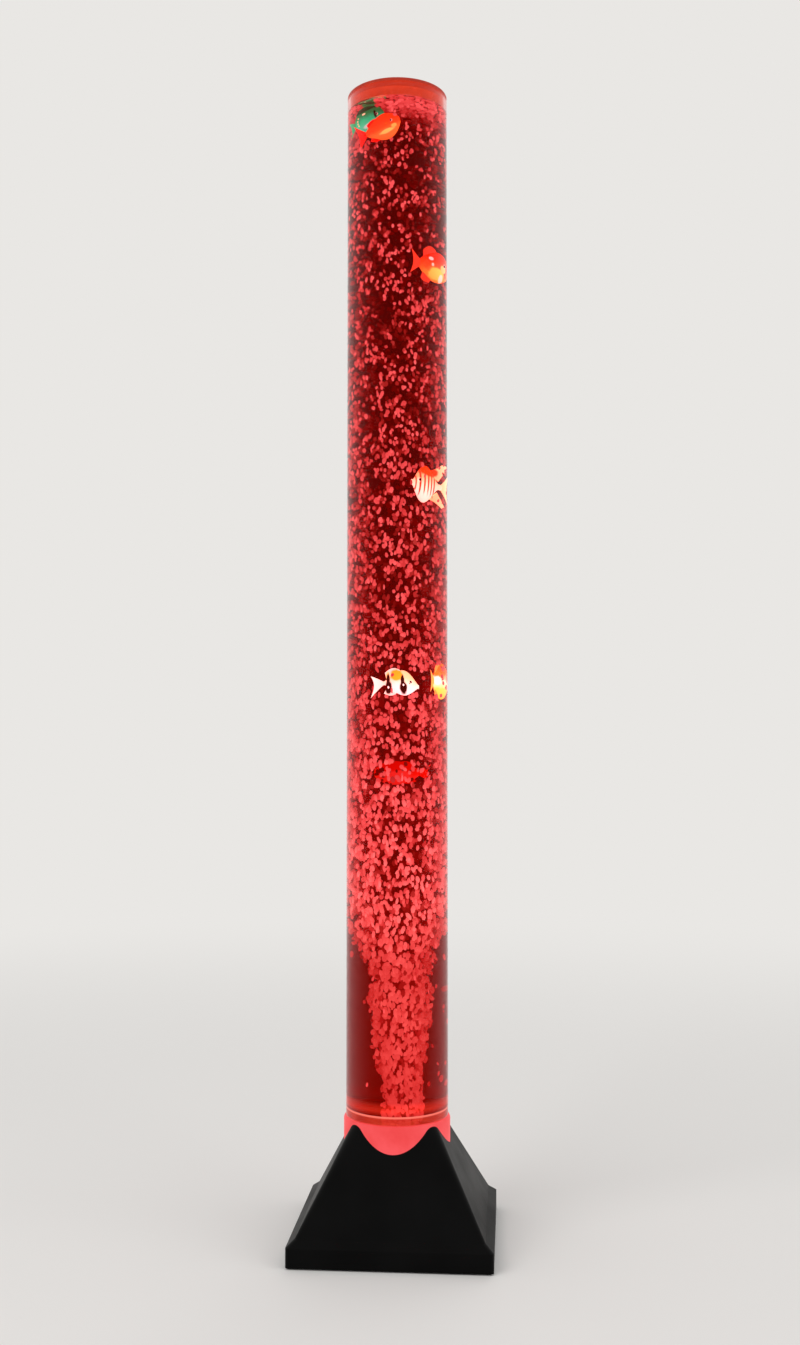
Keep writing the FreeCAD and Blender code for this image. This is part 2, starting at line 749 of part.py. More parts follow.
def stone_cup():
    """Plastic tray that holds the porous disc and plugs onto the inlet's nipple."""
    wall_top = stone_bottom + stone_cup_grip
    outer = stone_radius + stone_cup_wall
    inner = stone_radius + stone_fit
    boss = barb_radius + stone_boss_wall
    tray = revolve([(0.0, inlet_flange_top), (boss, inlet_flange_top),
                    (boss, stone_cup_floor - stone_boss_flare), (stone_radius, stone_cup_floor),
                    (outer, stone_cup_floor), (outer, wall_top), (inner, wall_top), (inner, stone_bottom),
                    (0.0, stone_bottom)])
    return tray.cut(cylinder(barb_radius + pilot_gap, inlet_flange_top - cut_over, stone_bottom + cut_over))


def air_stone():
    """Porous disc with a rounded top edge, seated in its tray, with room below for the end of the nipple."""
    top = stone_bottom + stone_height
    shy = stone_edge_radius * (1 - math.sqrt(0.5))
    disc = revolve([(0.0, stone_bottom), (stone_radius, stone_bottom),
                    (stone_radius, top - stone_edge_radius),
                    [(stone_radius - shy, top - shy), (stone_radius - stone_edge_radius, top)], (0.0, top)])
    return disc.cut(cylinder(barb_radius + nipple_room, stone_bottom - cut_over, nipple_top + cut_over))


# ---- air line


def pump_hose():
    """From the pump's nozzle forward, round one bend, to the check valve."""
    return hose([vec(pump_x, nozzle_end_y + nozzle_grip - fuse_in, nozzle_z), vec(pump_x, valve_y, nozzle_z),
                 vec(valve_start, valve_y, nozzle_z)], pump_hose_bend)


def inlet_hose():
    """From the check valve round the front right corner, then up to the barb under the cup."""
    corners = [vec(valve_end, valve_y, nozzle_z), vec(hose_corner_x, valve_y, nozzle_z),
               vec(hose_corner_x, 0, nozzle_z), vec(0, 0, nozzle_z), vec(0, 0, stem_bottom)]
    return hose(corners, inlet_hose_bend)


def check_valve():
    """Two-part round valve body with a groove round its middle and a hose stub at each end."""
    middle = valve_length / 2
    end = middle + nozzle_grip - cut_over
    half = [(valve_radius - valve_groove, valve_groove), (valve_radius, valve_groove_half),
            (valve_radius, middle - valve_collar_length), (valve_neck_radius, middle), (barb_radius, middle),
            (barb_radius, end), (0.0, end)]
    mirrored = [(radius, -place) for radius, place in reversed(half)]
    body = revolve(mirrored + half).cut(cylinder(air_bore_radius, -end - cut_over, end + cut_over))
    body.rotate(vec(0, 0, 0), vec(0, 1, 0), 90)
    body.translate(vec((valve_start + valve_end) / 2, valve_y, nozzle_z))
    return body


# ---- air pump


def pump_case_plate(skin, bottom, top):
    corner = max(pump_corner_radius - skin, case_boss_sink)
    return rounded_plate(pump_width / 2 - skin, pump_length / 2 - skin, corner, bottom, top, pump_x)


def pump_boss_places():
    inset = pump_wall + case_boss_radius - case_boss_sink
    return corner_places(pump_width / 2 - inset, pump_length / 2 - inset, pump_x)


def pump_tray():
    """Lower half of the pump's case, with the core's rests, the arm's two posts and four screw bosses."""
    low = pump_floor - fuse_in
    tray = pump_case_plate(0.0, pump_bottom, pump_split)
    tray = tray.cut(pump_case_plate(pump_wall, pump_floor, pump_split + cut_over))
    inside = pump_case_plate(0.0, low, pump_split)
    added = [boss.common(inside)
             for boss in copies_at(cylinder(case_boss_radius, low, pump_split), pump_boss_places())]
    for y in (core_face_y + core_rest_width, core_back_y - core_rest_width):
        added.append(block(pump_x - core_depth / 2, pump_x + core_depth / 2, y - core_rest_width / 2,
                           y + core_rest_width / 2, low, core_bottom))
    near = arm_eye_width / 2 + arm_side_gap
    far = near + pump_post_thickness
    half = pump_post_width / 2
    for start, end in ((pump_x - far, pump_x - near), (pump_x + near, pump_x + far)):
        added.append(block(start, end, pivot_y - half, pivot_y + half, low, arm_z))
        added.append(cylinder_along_x(half, start, end, pivot_y, arm_z))
    tray = tray.fuse(added).removeSplitter()
    pin_hole = cylinder_along_x(arm_pivot_radius + pilot_gap, pump_x - far - cut_over, pump_x + far + cut_over,
                                pivot_y, arm_z)
    nozzle_hole = cylinder_along_y(barb_radius + loose_gap, -pump_length / 2 - cut_over,
                                   -pump_length / 2 + pump_wall + cut_over, pump_x, nozzle_z)
    screw_tip = pump_split + case_screw_seat - case_screw_length
    pilot = cylinder(small_screw_radius + pilot_gap, screw_tip - blind_room, pump_split + cut_over)
    return tray.cut([pin_hole, nozzle_hole] + copies_at(pilot, pump_boss_places()))


def pump_lid():
    """Upper half of the pump's case: rounded shell with sunk screws and a row of slots over the coil."""
    cover = pump_case_plate(0.0, pump_split, pump_top)
    cover = cover.makeFillet(pump_edge_radius, edges_at_height(cover, pump_top))
    cover = cover.cut(pump_case_plate(pump_wall, pump_split - cut_over, pump_top - pump_wall))
    inside = pump_case_plate(pump_wall / 2, pump_split, pump_top - fuse_in)
    bosses = copies_at(cylinder(case_boss_radius, pump_split, pump_top - fuse_in), pump_boss_places())
    cover = cover.fuse([boss.common(inside) for boss in bosses]).removeSplitter()
    hole = cylinder(small_screw_radius + screw_gap, pump_split - cut_over, pump_top + cut_over)
    sink = cylinder(small_screw_head_radius + screw_gap, pump_split + case_screw_seat, pump_top + cut_over)
    slot = block(pump_x - pump_slot_length / 2, pump_x + pump_slot_length / 2, -pump_slot_width / 2,
                 pump_slot_width / 2, pump_top - pump_wall - cut_over, pump_top + cut_over)
    first_row = bobbin_start + coil_length / 2 - (pump_slot_count - 1) / 2 * pump_slot_pitch
    rows = [(0.0, first_row + number * pump_slot_pitch) for number in range(pump_slot_count)]
    return cover.cut(copies_at(hole.fuse(sink), pump_boss_places()) + copies_at(slot, rows))


def pump_case_screws():
    one = screw(small_screw_radius, case_screw_length, small_screw_head_radius, small_screw_head_height,
                point_up=False)
    one.translate(vec(0, 0, pump_split + case_screw_seat))
    return Part.makeCompound(copies_at(one, pump_boss_places()))


def pump_pads():
    """Four soft pads, waisted, that keep the pump's hum out of the cover."""
    pad = revolve([(0.0, cover_top), (pad_radius, cover_top),
                   [(pad_radius - pad_waist, cover_top + pad_height / 2), (pad_radius, pump_bottom)],
                   (0.0, pump_bottom)])
    places = corner_places(pump_width / 2 - pad_inset, pump_length / 2 - pad_inset, pump_x)
    return Part.makeCompound(copies_at(pad, places))


def pump_core():
    """E-shaped stack of iron sheets with its three legs towards the magnet."""
    points = [(core_back_y, core_bottom), (core_back_y, core_bottom + core_height)]
    top = core_bottom + core_height
    for leg in (core_leg, core_centre_leg, core_leg):
        points += [(core_face_y, top), (core_face_y, top - leg)]
        if top - leg > core_bottom + core_leg / 2:
            points += [(core_root_y, top - leg), (core_root_y, top - leg - core_slot)]
        top -= leg + core_slot
    corners = [vec(pump_x - core_depth / 2, y, z) for y, z in points + points[:1]]
    return Part.Face(Part.makePolygon(corners)).extrude(vec(core_depth, 0, 0))


def coil_ring(outer_x, outer_z, inner_x, inner_z, start, end):
    """A rectangular ring with round corners about the core's centre leg, along Y."""
    solid = rounded_plate(outer_x, outer_z, coil_corner_radius, 0.0, end - start)
    solid = solid.cut(rounded_plate(inner_x, inner_z, bobbin_corner_radius, -cut_over,
                                    end - start + cut_over))
    solid.rotate(vec(0, 0, 0), vec(1, 0, 0), -90)
    solid.translate(vec(pump_x, start, arm_z))
    return solid


def coil_bobbin():
    sleeve = coil_ring(bobbin_inner_x + bobbin_wall, bobbin_inner_z + bobbin_wall, bobbin_inner_x,
                       bobbin_inner_z, bobbin_start, bobbin_start + coil_length)
    flanges = [coil_ring(bobbin_reach_x, bobbin_reach_z, bobbin_inner_x, bobbin_inner_z, y, y + bobbin_wall)
               for y in (bobbin_start, bobbin_start + coil_length - bobbin_wall)]
    return sleeve.fuse(flanges).removeSplitter()


def pump_coil():
    return coil_ring(bobbin_reach_x - coil_sink, bobbin_reach_z - coil_sink, bobbin_inner_x + bobbin_wall,
                     bobbin_inner_z + bobbin_wall, bobbin_start + bobbin_wall,
                     bobbin_start + coil_length - bobbin_wall)


def pump_arm():
    """Swinging arm: an eye on the pin, a bar past the diaphragm and a plate for the magnet."""
    eye = cylinder_along_x(arm_eye_radius, pump_x - arm_eye_width / 2, pump_x + arm_eye_width / 2,
                           pivot_y, arm_z)
    bar = block(pump_x - arm_width / 2, pump_x + arm_width / 2, pivot_y, arm_tip_y, arm_bottom, arm_top)
    plate = block(pump_x - magnet_width / 2, pump_x + magnet_width / 2, arm_tip_y - arm_plate_thickness,
                  arm_tip_y, arm_z - magnet_height / 2, arm_z + magnet_height / 2)
    pad = cylinder(arm_pad_radius, arm_bottom, arm_top, pump_x, diaphragm_y)
    arm = eye.fuse([bar, plate, pad]).removeSplitter()
    bore = cylinder_along_x(arm_pivot_radius + running_gap, pump_x - arm_eye_width / 2 - cut_over,
                            pump_x + arm_eye_width / 2 + cut_over, pivot_y, arm_z)
    screw_hole = cylinder(small_screw_radius + screw_gap, arm_bottom - cut_over, arm_top + cut_over,
                          pump_x, diaphragm_y)
    return arm.cut([bore, screw_hole])


def pump_magnet():
    magnet = block(pump_x - magnet_width / 2, pump_x + magnet_width / 2, arm_tip_y, magnet_face_y,
                   arm_z - magnet_height / 2, arm_z + magnet_height / 2)
    return magnet.makeChamfer(magnet_chamfer, magnet.Edges)


def pivot_pin():
    reach = arm_eye_width / 2 + arm_side_gap + pump_post_thickness
    pin = cylinder_along_x(arm_pivot_radius, pump_x - reach, pump_x + reach, pivot_y, arm_z)
    return pin.makeChamfer(pin_chamfer, [edge for edge in pin.Edges if len(edge.Vertexes) == 1])


def arm_screw():
    one = screw(small_screw_radius, arm_thickness, small_screw_head_radius, small_screw_head_height,
                point_up=False)
    one.translate(vec(pump_x, diaphragm_y, arm_top))
    return one


def pump_diaphragm():
    """Rubber bellows between the valve block and the arm's underside."""
    top = arm_bottom - diaphragm_gap
    middle = (block_top + top) / 2
    waist = diaphragm_radius - diaphragm_wall / 2
    shape = revolve([(0.0, top - diaphragm_wall), (bellows_top_radius - diaphragm_wall, top - diaphragm_wall),
                     (waist - diaphragm_wall, middle), (waist - diaphragm_wall, block_top),
                     (diaphragm_radius, block_top), (diaphragm_radius, block_top + diaphragm_rim),
                     (waist, middle), (bellows_top_radius, top), (0.0, top)])
    shape.translate(vec(pump_x, diaphragm_y, 0))
    return shape


def valve_block():
    """Valve box under the diaphragm, with the nozzle that leaves the case at the front."""
    half = valve_block_side / 2
    box = rounded_plate(half, half, valve_block_corner, pump_floor, block_top, pump_x, diaphragm_y)
    nozzle = cylinder_along_y(barb_radius, nozzle_end_y, diaphragm_y, pump_x, nozzle_z)
    bore = cylinder_along_y(air_bore_radius, nozzle_end_y - cut_over, diaphragm_y, pump_x, nozzle_z)
    chamber = cylinder(chamber_radius, block_top - chamber_depth, block_top + cut_over, pump_x, diaphragm_y)
    return box.fuse(nozzle).removeSplitter().cut([bore, chamber])


# ---- electronics at the back of the foot


def board_screw_places():
    return corner_places(board_length / 2 - board_screw_inset, board_depth / 2 - board_screw_inset, board_x,
                         board_back - board_depth / 2)


def control_board():
    board = rounded_plate(board_length / 2, board_depth / 2, board_corner_radius, board_bottom, board_top,
                          board_x, board_back - board_depth / 2)
    hole = cylinder(small_screw_radius + screw_gap, board_bottom - cut_over, board_top + cut_over)
    return board.cut(copies_at(hole, board_screw_places()))


def board_screws():
    one = screw(small_screw_radius, board_thickness + board_screw_reach, small_screw_head_radius,
                small_screw_head_height, point_up=False)
    one.translate(vec(0, 0, board_top))
    return Part.makeCompound(copies_at(one, board_screw_places()))


def board_block(size):
    """A block that stands at the middle of the board's front edge."""
    length, depth, height = size
    return block(board_x - length / 2, board_x + length / 2, board_front - depth / 2, board_front + depth / 2,
                 board_top, board_top + height)


def board_parts():
    """The board's larger parts: a control chip, a coil driver, two capacitors and two lead sockets."""
    can = cylinder(can_radius, board_top, board_top + can_height, board_x, board_front)
    can = can.makeFillet(can_edge_radius, edges_at_height(can, board_top + can_height))
    length, depth, height = plug_size
    hollow = board_block((length - 2 * plug_wall, depth - 2 * plug_wall, height))
    hollow.translate(vec(0, 0, plug_floor))
    parts = copies_at(board_block(chip_size), [chip_place])
    parts += copies_at(board_block(driver_size), [driver_place])
    parts += copies_at(can, can_places)
    parts += copies_at(board_block(plug_size).cut(hollow), plug_places)
    return Part.makeCompound(parts)


def power_inlet():
    """Low voltage barrel inlet: a block on the board whose round nose fills the hole in the skirt."""
    nose_end = half_base - jack_recess
    body_end = inner_half - loose_gap
    bore_end = nose_end - jack_bore_depth
    body = block(jack_offset - jack_width / 2, jack_offset + jack_width / 2, body_end - jack_body_length,
                 body_end, board_top, board_top + jack_height)
    body = body.fuse(cylinder_along_y(jack_nose_radius, body_end, nose_end, jack_offset, socket_z))
    body = body.cut(cylinder_along_y(jack_bore_radius, bore_end, nose_end + cut_over, jack_offset, socket_z))
    pin = cylinder_along_y(jack_pin_radius, bore_end, nose_end - jack_pin_recess, jack_offset, socket_z)
    return body.fuse(pin)


def mode_button():
    """Push cap, flush with the skirt, with a flange behind the wall."""
    cap = cylinder_along_y(button_radius, button_flange_back, button_face, button_offset, socket_z)
    cap = cap.makeFillet(button_edge_radius, [edge for edge in cap.Edges
                                              if abs(edge.BoundBox.YMin - button_face) < 0.01])
    flange = cylinder_along_y(button_flange_radius, button_flange_back, button_flange_front,
                              button_offset, socket_z)
    return cap.fuse(flange).removeSplitter()


def switch_plunger():
    return cylinder_along_y(plunger_radius, switch_face - plunger_grip, button_flange_back,
                            button_offset, socket_z)


def mode_switch():
    """Push switch that stands on the board behind the button."""
    case = block(button_offset - switch_width / 2, button_offset + switch_width / 2, switch_back, switch_face,
                 board_top, board_top + switch_height)
    well_floor = switch_face - plunger_grip - button_travel - plunger_room
    well = cylinder_along_y(plunger_radius + running_gap, well_floor, switch_face + cut_over,
                            button_offset, socket_z)
    return case.cut(well)


# ---- fish


def fin(points):
    plate = outline(points).extrude(vec(0, fin_thickness, 0))
    plate.translate(vec(0, -fin_thickness / 2, 0))
    return plate


def fish(length, height, thickness):
    """A toy fish: a lofted body with a forked tail, a back fin and a belly fin, nose towards +X."""
    nose = length * 0.5
    root = -length * 0.27
    body_half = height * 0.37
    rings = []
    for number in range(fish_rings):
        along = number / (fish_rings - 1)
        # the body swells fast behind the nose and thins out towards the tail
        swell = math.sin(math.pi * (0.06 + 0.88 * along) ** 0.8) ** 0.75
        tall = body_half * max(swell, 0.18)
        wide = min(thickness / 2 * max(swell, 0.16), tall * 0.96)
        centre = vec(nose + (root - nose) * along, 0, 0)
        oval = Part.Ellipse(centre + vec(0, 0, tall), centre + vec(0, wide, 0), centre)
        rings.append(Part.Wire(oval.toShape()))
    body = Part.makeLoft(rings, True, True)
    tail = fin([(root + 2.0, height * 0.05), (-length * 0.5, height * 0.30),
                [(-length * 0.43, 0.0), (-length * 0.5, -height * 0.30)], (root + 2.0, -height * 0.05)])
    back = fin([(length * 0.18, body_half * 0.72),
                [(length * 0.02, height * 0.49), (-length * 0.2, height * 0.34)],
                (-length * 0.17, body_half * 0.2)])
    belly = fin([(length * 0.06, -body_half * 0.8),
                 [(-length * 0.08, -height * 0.47), (-length * 0.22, -height * 0.34)],
                 (-length * 0.15, -body_half * 0.2)])
    return body.fuse([tail, back, belly]).removeSplitter()


def placed_fish(length, height, thickness, depth, wall_gap, bearing, turn, tilt):
    """A fish at its depth in the water and its place round the tube's axis."""
    shape = fish(length, height, thickness)
    shape.rotate(vec(0, 0, 0), vec(0, 1, 0), -tilt)
    shape.rotate(vec(0, 0, 0), vec(0, 0, 1), turn)
    reach = bore_radius - wall_gap
    angle = math.radians(bearing)
    shape.translate(vec(reach * math.cos(angle), reach * math.sin(angle), water_top - depth))
    return shape


makers = [
    base_shell, bottom_cover, cover_screws, rubber_feet, tube_socket, cup_screws, tube_seal, water_tube, lid,
    light_ring, light_chips, ring_screws, air_inlet, inlet_washer, inlet_nut, stone_cup, air_stone,
    pump_hose, check_valve, inlet_hose, pump_tray, pump_lid, pump_case_screws, pump_pads, pump_core,
    coil_bobbin, pump_coil, pump_arm, pump_magnet, pivot_pin, arm_screw, pump_diaphragm, valve_block,
    control_board, board_screws, board_parts, power_inlet, mode_switch, mode_button, switch_plunger,
]

os.makedirs("parts", exist_ok=True)
for make in makers:
    make().exportStep(f"parts/{make.__name__}.step")
for name, *sizes in fish_table:
    placed_fish(*sizes).exportStep(f"parts/{name}.step")
print("nodes", len(makers) + len(fish_table))
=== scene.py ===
import math

import bpy
import numpy as np
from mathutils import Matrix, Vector


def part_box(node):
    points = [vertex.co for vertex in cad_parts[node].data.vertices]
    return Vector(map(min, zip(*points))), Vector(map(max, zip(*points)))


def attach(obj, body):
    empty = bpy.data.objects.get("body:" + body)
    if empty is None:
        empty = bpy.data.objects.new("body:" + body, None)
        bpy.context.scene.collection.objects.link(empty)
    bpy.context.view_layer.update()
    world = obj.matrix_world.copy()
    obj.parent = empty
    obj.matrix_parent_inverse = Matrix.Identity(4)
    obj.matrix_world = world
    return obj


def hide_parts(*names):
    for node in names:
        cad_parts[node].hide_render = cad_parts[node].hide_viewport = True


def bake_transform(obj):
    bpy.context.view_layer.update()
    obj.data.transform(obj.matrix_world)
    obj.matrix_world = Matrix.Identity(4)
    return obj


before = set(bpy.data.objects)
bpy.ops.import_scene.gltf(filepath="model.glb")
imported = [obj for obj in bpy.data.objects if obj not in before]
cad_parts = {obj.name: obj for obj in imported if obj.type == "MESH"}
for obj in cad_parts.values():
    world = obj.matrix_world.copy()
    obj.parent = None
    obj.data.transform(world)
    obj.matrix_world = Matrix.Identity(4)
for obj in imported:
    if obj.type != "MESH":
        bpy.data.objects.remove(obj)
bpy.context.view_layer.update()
mm = 0.001
print("stage: frame loaded")


def linear(code):
    # sRGB hex to linear light: each channel c is c / 12.92 below 0.04045, else ((c + 0.055) / 1.055) ^ 2.4
    parts = [int(code[i:i + 2], 16) / 255 for i in (1, 3, 5)]
    return tuple(c / 12.92 if c <= 0.04045 else ((c + 0.055) / 1.055) ** 2.4 for c in parts) + (1.0,)


def add(tree, kind, settings=None, links=None):
    # one shader node, its settings by property or socket, and what feeds its sockets: an output, or a node,
    # which stands for its first output
    node = tree.nodes.new("ShaderNode" + kind)
    for key, value in (settings or {}).items():
        if isinstance(key, int) or key in node.inputs:
            node.inputs[key].default_value = value
        else:
            setattr(node, key, value)
    for key, source in (links or {}).items():
        if isinstance(source, bpy.types.Node):
            source = source.outputs[0]
        tree.links.new(source, node.inputs[key])
    return node


def noise(tree, place, sizeMm, detail=2.0, distortion=0.0):
    # a cloudy pattern with patches about sizeMm wide, mostly between 0.3 and 0.7
    return add(tree, "TexNoise", {"Scale": 1 / (sizeMm * mm), "Detail": detail, "Distortion": distortion},
               {"Vector": place})


def ramp(tree, source, stops):
    # colour that runs through the stops, each a place from 0 to 1 and an sRGB colour
    node = add(tree, "ValToRGB", {}, {"Fac": source})
    elements = node.color_ramp.elements
    while len(elements) > 1:
        elements.remove(elements[-1])
    elements[0].position = stops[0][0]
    elements[0].color = linear(stops[0][1])
    for place, colour in stops[1:]:
        elements.new(place).color = linear(colour)
    return node


def fade(tree, source, low, high, start=0.0, end=1.0):
    # start + (end - start) * share, where share is how far the source is on its way from low to high
    return add(tree, "MapRange", {"From Min": low, "From Max": high, "To Min": start, "To Max": end},
               {"Value": source})


def mixColour(tree, share, first, second):
    # first * (1 - share) + second * share; the second is an output or an sRGB colour
    settings, links = {"data_type": "RGBA"}, {0: share, 6: first}
    if isinstance(second, str):
        settings[7] = linear(second)
    else:
        links[7] = second
    return add(tree, "Mix", settings, links).outputs[2]


def startMaterial(name):
    # an empty material, its node tree, and the place on the piece
    material = bpy.data.materials.new(name)
    material.use_nodes = True
    tree = material.node_tree
    tree.nodes.clear()
    return material, tree, add(tree, "TexCoord").outputs["Object"]


def endMaterial(material, shader, volume=None, faint=False):
    # the output node, fed by the surface shader and perhaps one for the volume; a faint glow isn't sampled as
    # a lamp, which keeps the render quick and free of specks
    links = {"Surface": shader}
    if volume:
        links["Volume"] = volume
    add(material.node_tree, "OutputMaterial", {}, links)
    if faint:
        material.cycles.emission_sampling = "NONE"
    return material


# opaque finishes: a broad tone shift between two colours, a fine grain in the surface, and gloss (roughness)
# that varies with the tone; toneMm and grainMm are the sizes of the two patterns
finishParts = ("dark", "light", "toneMm", "grainMm", "bump", "glossLow", "glossHigh", "metallic", "specular")
finishes = {
    # ABS, injection moulded in a spark-eroded tool: a fine even grain, satin, near black
    "blackAbs": ("#040404", "#090909", 60, 0.9, 0.05, 0.36, 0.48, 0.0, 0.06),
    # the cover underneath is the same ABS from a plainer tool
    "coverAbs": ("#131314", "#1b1b1c", 40, 1.2, 0.08, 0.5, 0.62, 0.0, 0.5),
    # the button's cap is ABS from a polished tool
    "buttonAbs": ("#0c0c0d", "#151516", 6, 0.5, 0.01, 0.2, 0.28, 0.0, 0.5),
    # natural rubber feet, pressed: dull, with a soft mottle
    "footRubber": ("#171717", "#242423", 5, 0.8, 0.15, 0.75, 0.9, 0.0, 0.5),
    # EPDM bellows, pressed
    "bellowsRubber": ("#141414", "#1f1f1f", 4, 0.6, 0.1, 0.6, 0.75, 0.0, 0.5),
    # silicone hose and seals, extruded: milky and a little waxy
    "silicone": ("#b9b8b2", "#cfcec8", 10, 1.5, 0.03, 0.35, 0.45, 0.0, 0.5),
    # zinc-plated steel, cold headed: bright, faintly mottled
    "zincSteel": ("#a9abb0", "#c6c8cc", 2, 0.4, 0.06, 0.25, 0.4, 1.0, 0.5),
    # nickel-plated brass, turned
    "nickelBrass": ("#b3ac97", "#cfc9b8", 4, 0.3, 0.03, 0.18, 0.28, 1.0, 0.5),
    # nickel-plated neodymium: a mirror with slight dimples
    "magnetNickel": ("#b8b8bb", "#cdcdd0", 5, 0.8, 0.02, 0.12, 0.2, 1.0, 0.5),
    # polypropylene, moulded: the valve, the stone's cup and the valve block
    "greyPolypropylene": ("#4a4e52", "#5d6166", 12, 1.0, 0.04, 0.35, 0.48, 0.0, 0.5),
    # glass-filled nylon of the pump's case: its fibres roughen the surface
    "pumpNylon": ("#2c2f31", "#3d4144", 9, 0.6, 0.1, 0.42, 0.58, 0.0, 0.5),
    # acetal of the arm and the plunger: white, slippery
    "acetal": ("#cfcec8", "#e0dfda", 8, 1.2, 0.02, 0.28, 0.38, 0.0, 0.5),
    # nylon bobbin, natural colour
    "bobbinNylon": ("#cfc6b2", "#dfd8c8", 6, 0.9, 0.03, 0.4, 0.5, 0.0, 0.5),
    # glass-epoxy board under green solder mask: the weave shows as a faint grain
    "solderMask": ("#0c4a26", "#135c31", 7, 0.7, 0.05, 0.22, 0.32, 0.0, 0.5),
    # aluminium-backed board of the lights under white mask
    "whiteMask": ("#d6d6d2", "#e4e4e0", 12, 0.8, 0.03, 0.25, 0.35, 0.0, 0.5),
    # epoxy moulding compound of chips, sockets and the inlet
    "blackEpoxy": ("#151516", "#202021", 4, 0.4, 0.08, 0.45, 0.6, 0.0, 0.5),
}


def opaqueFinish(name):
    # colour = ramp(broad noise) between the two tones, roughness follows the same noise, bump = fine noise
    s = dict(zip(finishParts, finishes[name]))
    material, tree, place = startMaterial(name)
    tone = noise(tree, place, s["toneMm"], 5.0)
    bump = add(tree, "Bump", {"Strength": s["bump"], "Distance": s["grainMm"] * mm / 2},
               {"Height": noise(tree, place, s["grainMm"])})
    shader = add(tree, "BsdfPrincipled",
                 {"Metallic": s["metallic"], "Specular IOR Level": s["specular"]},
                 {"Base Color": ramp(tree, tone, [(0.35, s["dark"]), (0.68, s["light"])]),
                  "Roughness": fade(tree, tone, 0.3, 0.7, s["glossLow"], s["glossHigh"]), "Normal": bump})
    return endMaterial(material, shader)


bandedMetals = {
    # enamelled copper wire, wound: 0.25 mm turns, drawn at 0.6 mm so that they show
    "copperWinding": {"direction": "Y", "bandMm": 0.6, "wander": 0.3, "bump": 0.6, "metallic": 0.8,
                      "roughness": 0.35, "stops": [(0.1, "#5e2412"), (0.6, "#b4562b")]},
    # stack of stamped iron sheets 0.5 mm thick, drawn at 1 mm, lightly oiled
    "laminatedIron": {"direction": "X", "bandMm": 1.0, "wander": 0.0, "bump": 0.4, "metallic": 0.9,
                      "roughness": 0.45, "stops": [(0.2, "#232325"), (0.7, "#4d4e52")]},
}


def bandedMetal(name):
    # colour and bump both follow bands across the piece: level = wave(place / width of a band)
    s = bandedMetals[name]
    material, tree, place = startMaterial(name)
    bands = add(tree, "TexWave", {"bands_direction": s["direction"], "Scale": 1 / (20 * s["bandMm"] * mm),
                                  "Distortion": s["wander"]}, {"Vector": place}).outputs["Fac"]
    bump = add(tree, "Bump", {"Strength": s["bump"], "Distance": 0.2 * mm}, {"Height": bands})
    shader = add(tree, "BsdfPrincipled", {"Metallic": s["metallic"], "Roughness": s["roughness"]},
                 {"Base Color": ramp(tree, bands, s["stops"]), "Normal": bump})
    return endMaterial(material, shader)


def sinteredStone():
    # sintered mineral grit of the air stone: 0.8 mm grains with open pores; the grains' middles are lighter
    # and stand proud: both follow the distance to the nearest grain
    material, tree, place = startMaterial("sinteredStone")
    grit = add(tree, "TexVoronoi", {"Scale": 1 / (0.8 * mm)}, {"Vector": place})
    bump = add(tree, "Bump", {"Strength": 0.9, "Distance": 0.4 * mm, "invert": True}, {"Height": grit})
    shader = add(tree, "BsdfPrincipled", {"Roughness": 0.9},
                 {"Base Color": ramp(tree, grit, [(0.1, "#8c939c"), (0.6, "#3d4248")]), "Normal": bump})
    return endMaterial(material, shader)


def lightPackage():
    # lit light package: a glow that mottles between warm red and pink, under clear resin
    material, tree, place = startMaterial("lightPackage")
    colour = ramp(tree, noise(tree, place, 3), [(0.3, "#ff5a50"), (0.7, "#ff9a8e")])
    shader = add(tree, "BsdfPrincipled", {"Roughness": 0.2, "Emission Strength": 1.5},
                 {"Base Color": colour, "Emission Color": colour})
    return endMaterial(material, shader)


# colours of the cup's parts, heights where they change, cover of the clear parts, sizes of the patterns
glow = {"collar": "#f4565a", "collarDeep": "#ea4648", "spigot": "#e04a32", "spigotDeep": "#b02c1c",
        "rimLine": "#ff8a78", "body": "#5c1212", "collarTopMm": 126, "rimFromMm": 132.8, "spigotCover": 0.42,
        "rimCover": 0.85, "mottleMm": 24, "streakMm": 5}


def frostedCup():
    # frosted acrylic cup lit from below: an even pink-red glow; above the collar only the thin inner wall
    # stands, more orange and half clear with sagging streaks, and its top edge catches the light in a line
    s = glow
    material, tree, place = startMaterial("frostedAcrylic")
    height = add(tree, "SeparateXYZ", {}, {"Vector": place}).outputs["Z"]
    above = fade(tree, height, s["collarTopMm"] * mm, (s["collarTopMm"] + 0.6) * mm)
    atRim = fade(tree, height, s["rimFromMm"] * mm, (s["rimFromMm"] + 0.8) * mm)
    mottle = noise(tree, place, s["mottleMm"], 3.0)
    low = ramp(tree, mottle, [(0.35, s["collarDeep"]), (0.65, s["collar"])])
    squeezed = add(tree, "Mapping", {"Scale": (0.35, 0.35, 1.6)}, {"Vector": place})
    streak = noise(tree, squeezed, s["streakMm"], 4.0, 0.8)
    thin = ramp(tree, streak, [(0.36, s["spigotDeep"]), (0.62, s["spigot"])])
    lit = mixColour(tree, atRim, mixColour(tree, above, low, thin), s["rimLine"])
    cover = fade(tree, above, 0.0, 1.0, 1.0, s["spigotCover"])
    cover = add(tree, "Mix", {3: s["rimCover"]}, {0: atRim, 2: cover})
    shader = add(tree, "BsdfPrincipled", {"Base Color": linear(s["body"]), "Roughness": 0.45, "IOR": 1.49,
                                          "Emission Strength": 0.96, "Specular IOR Level": 0.2},
                 {"Emission Color": lit, "Alpha": cover})
    return endMaterial(material, shader)


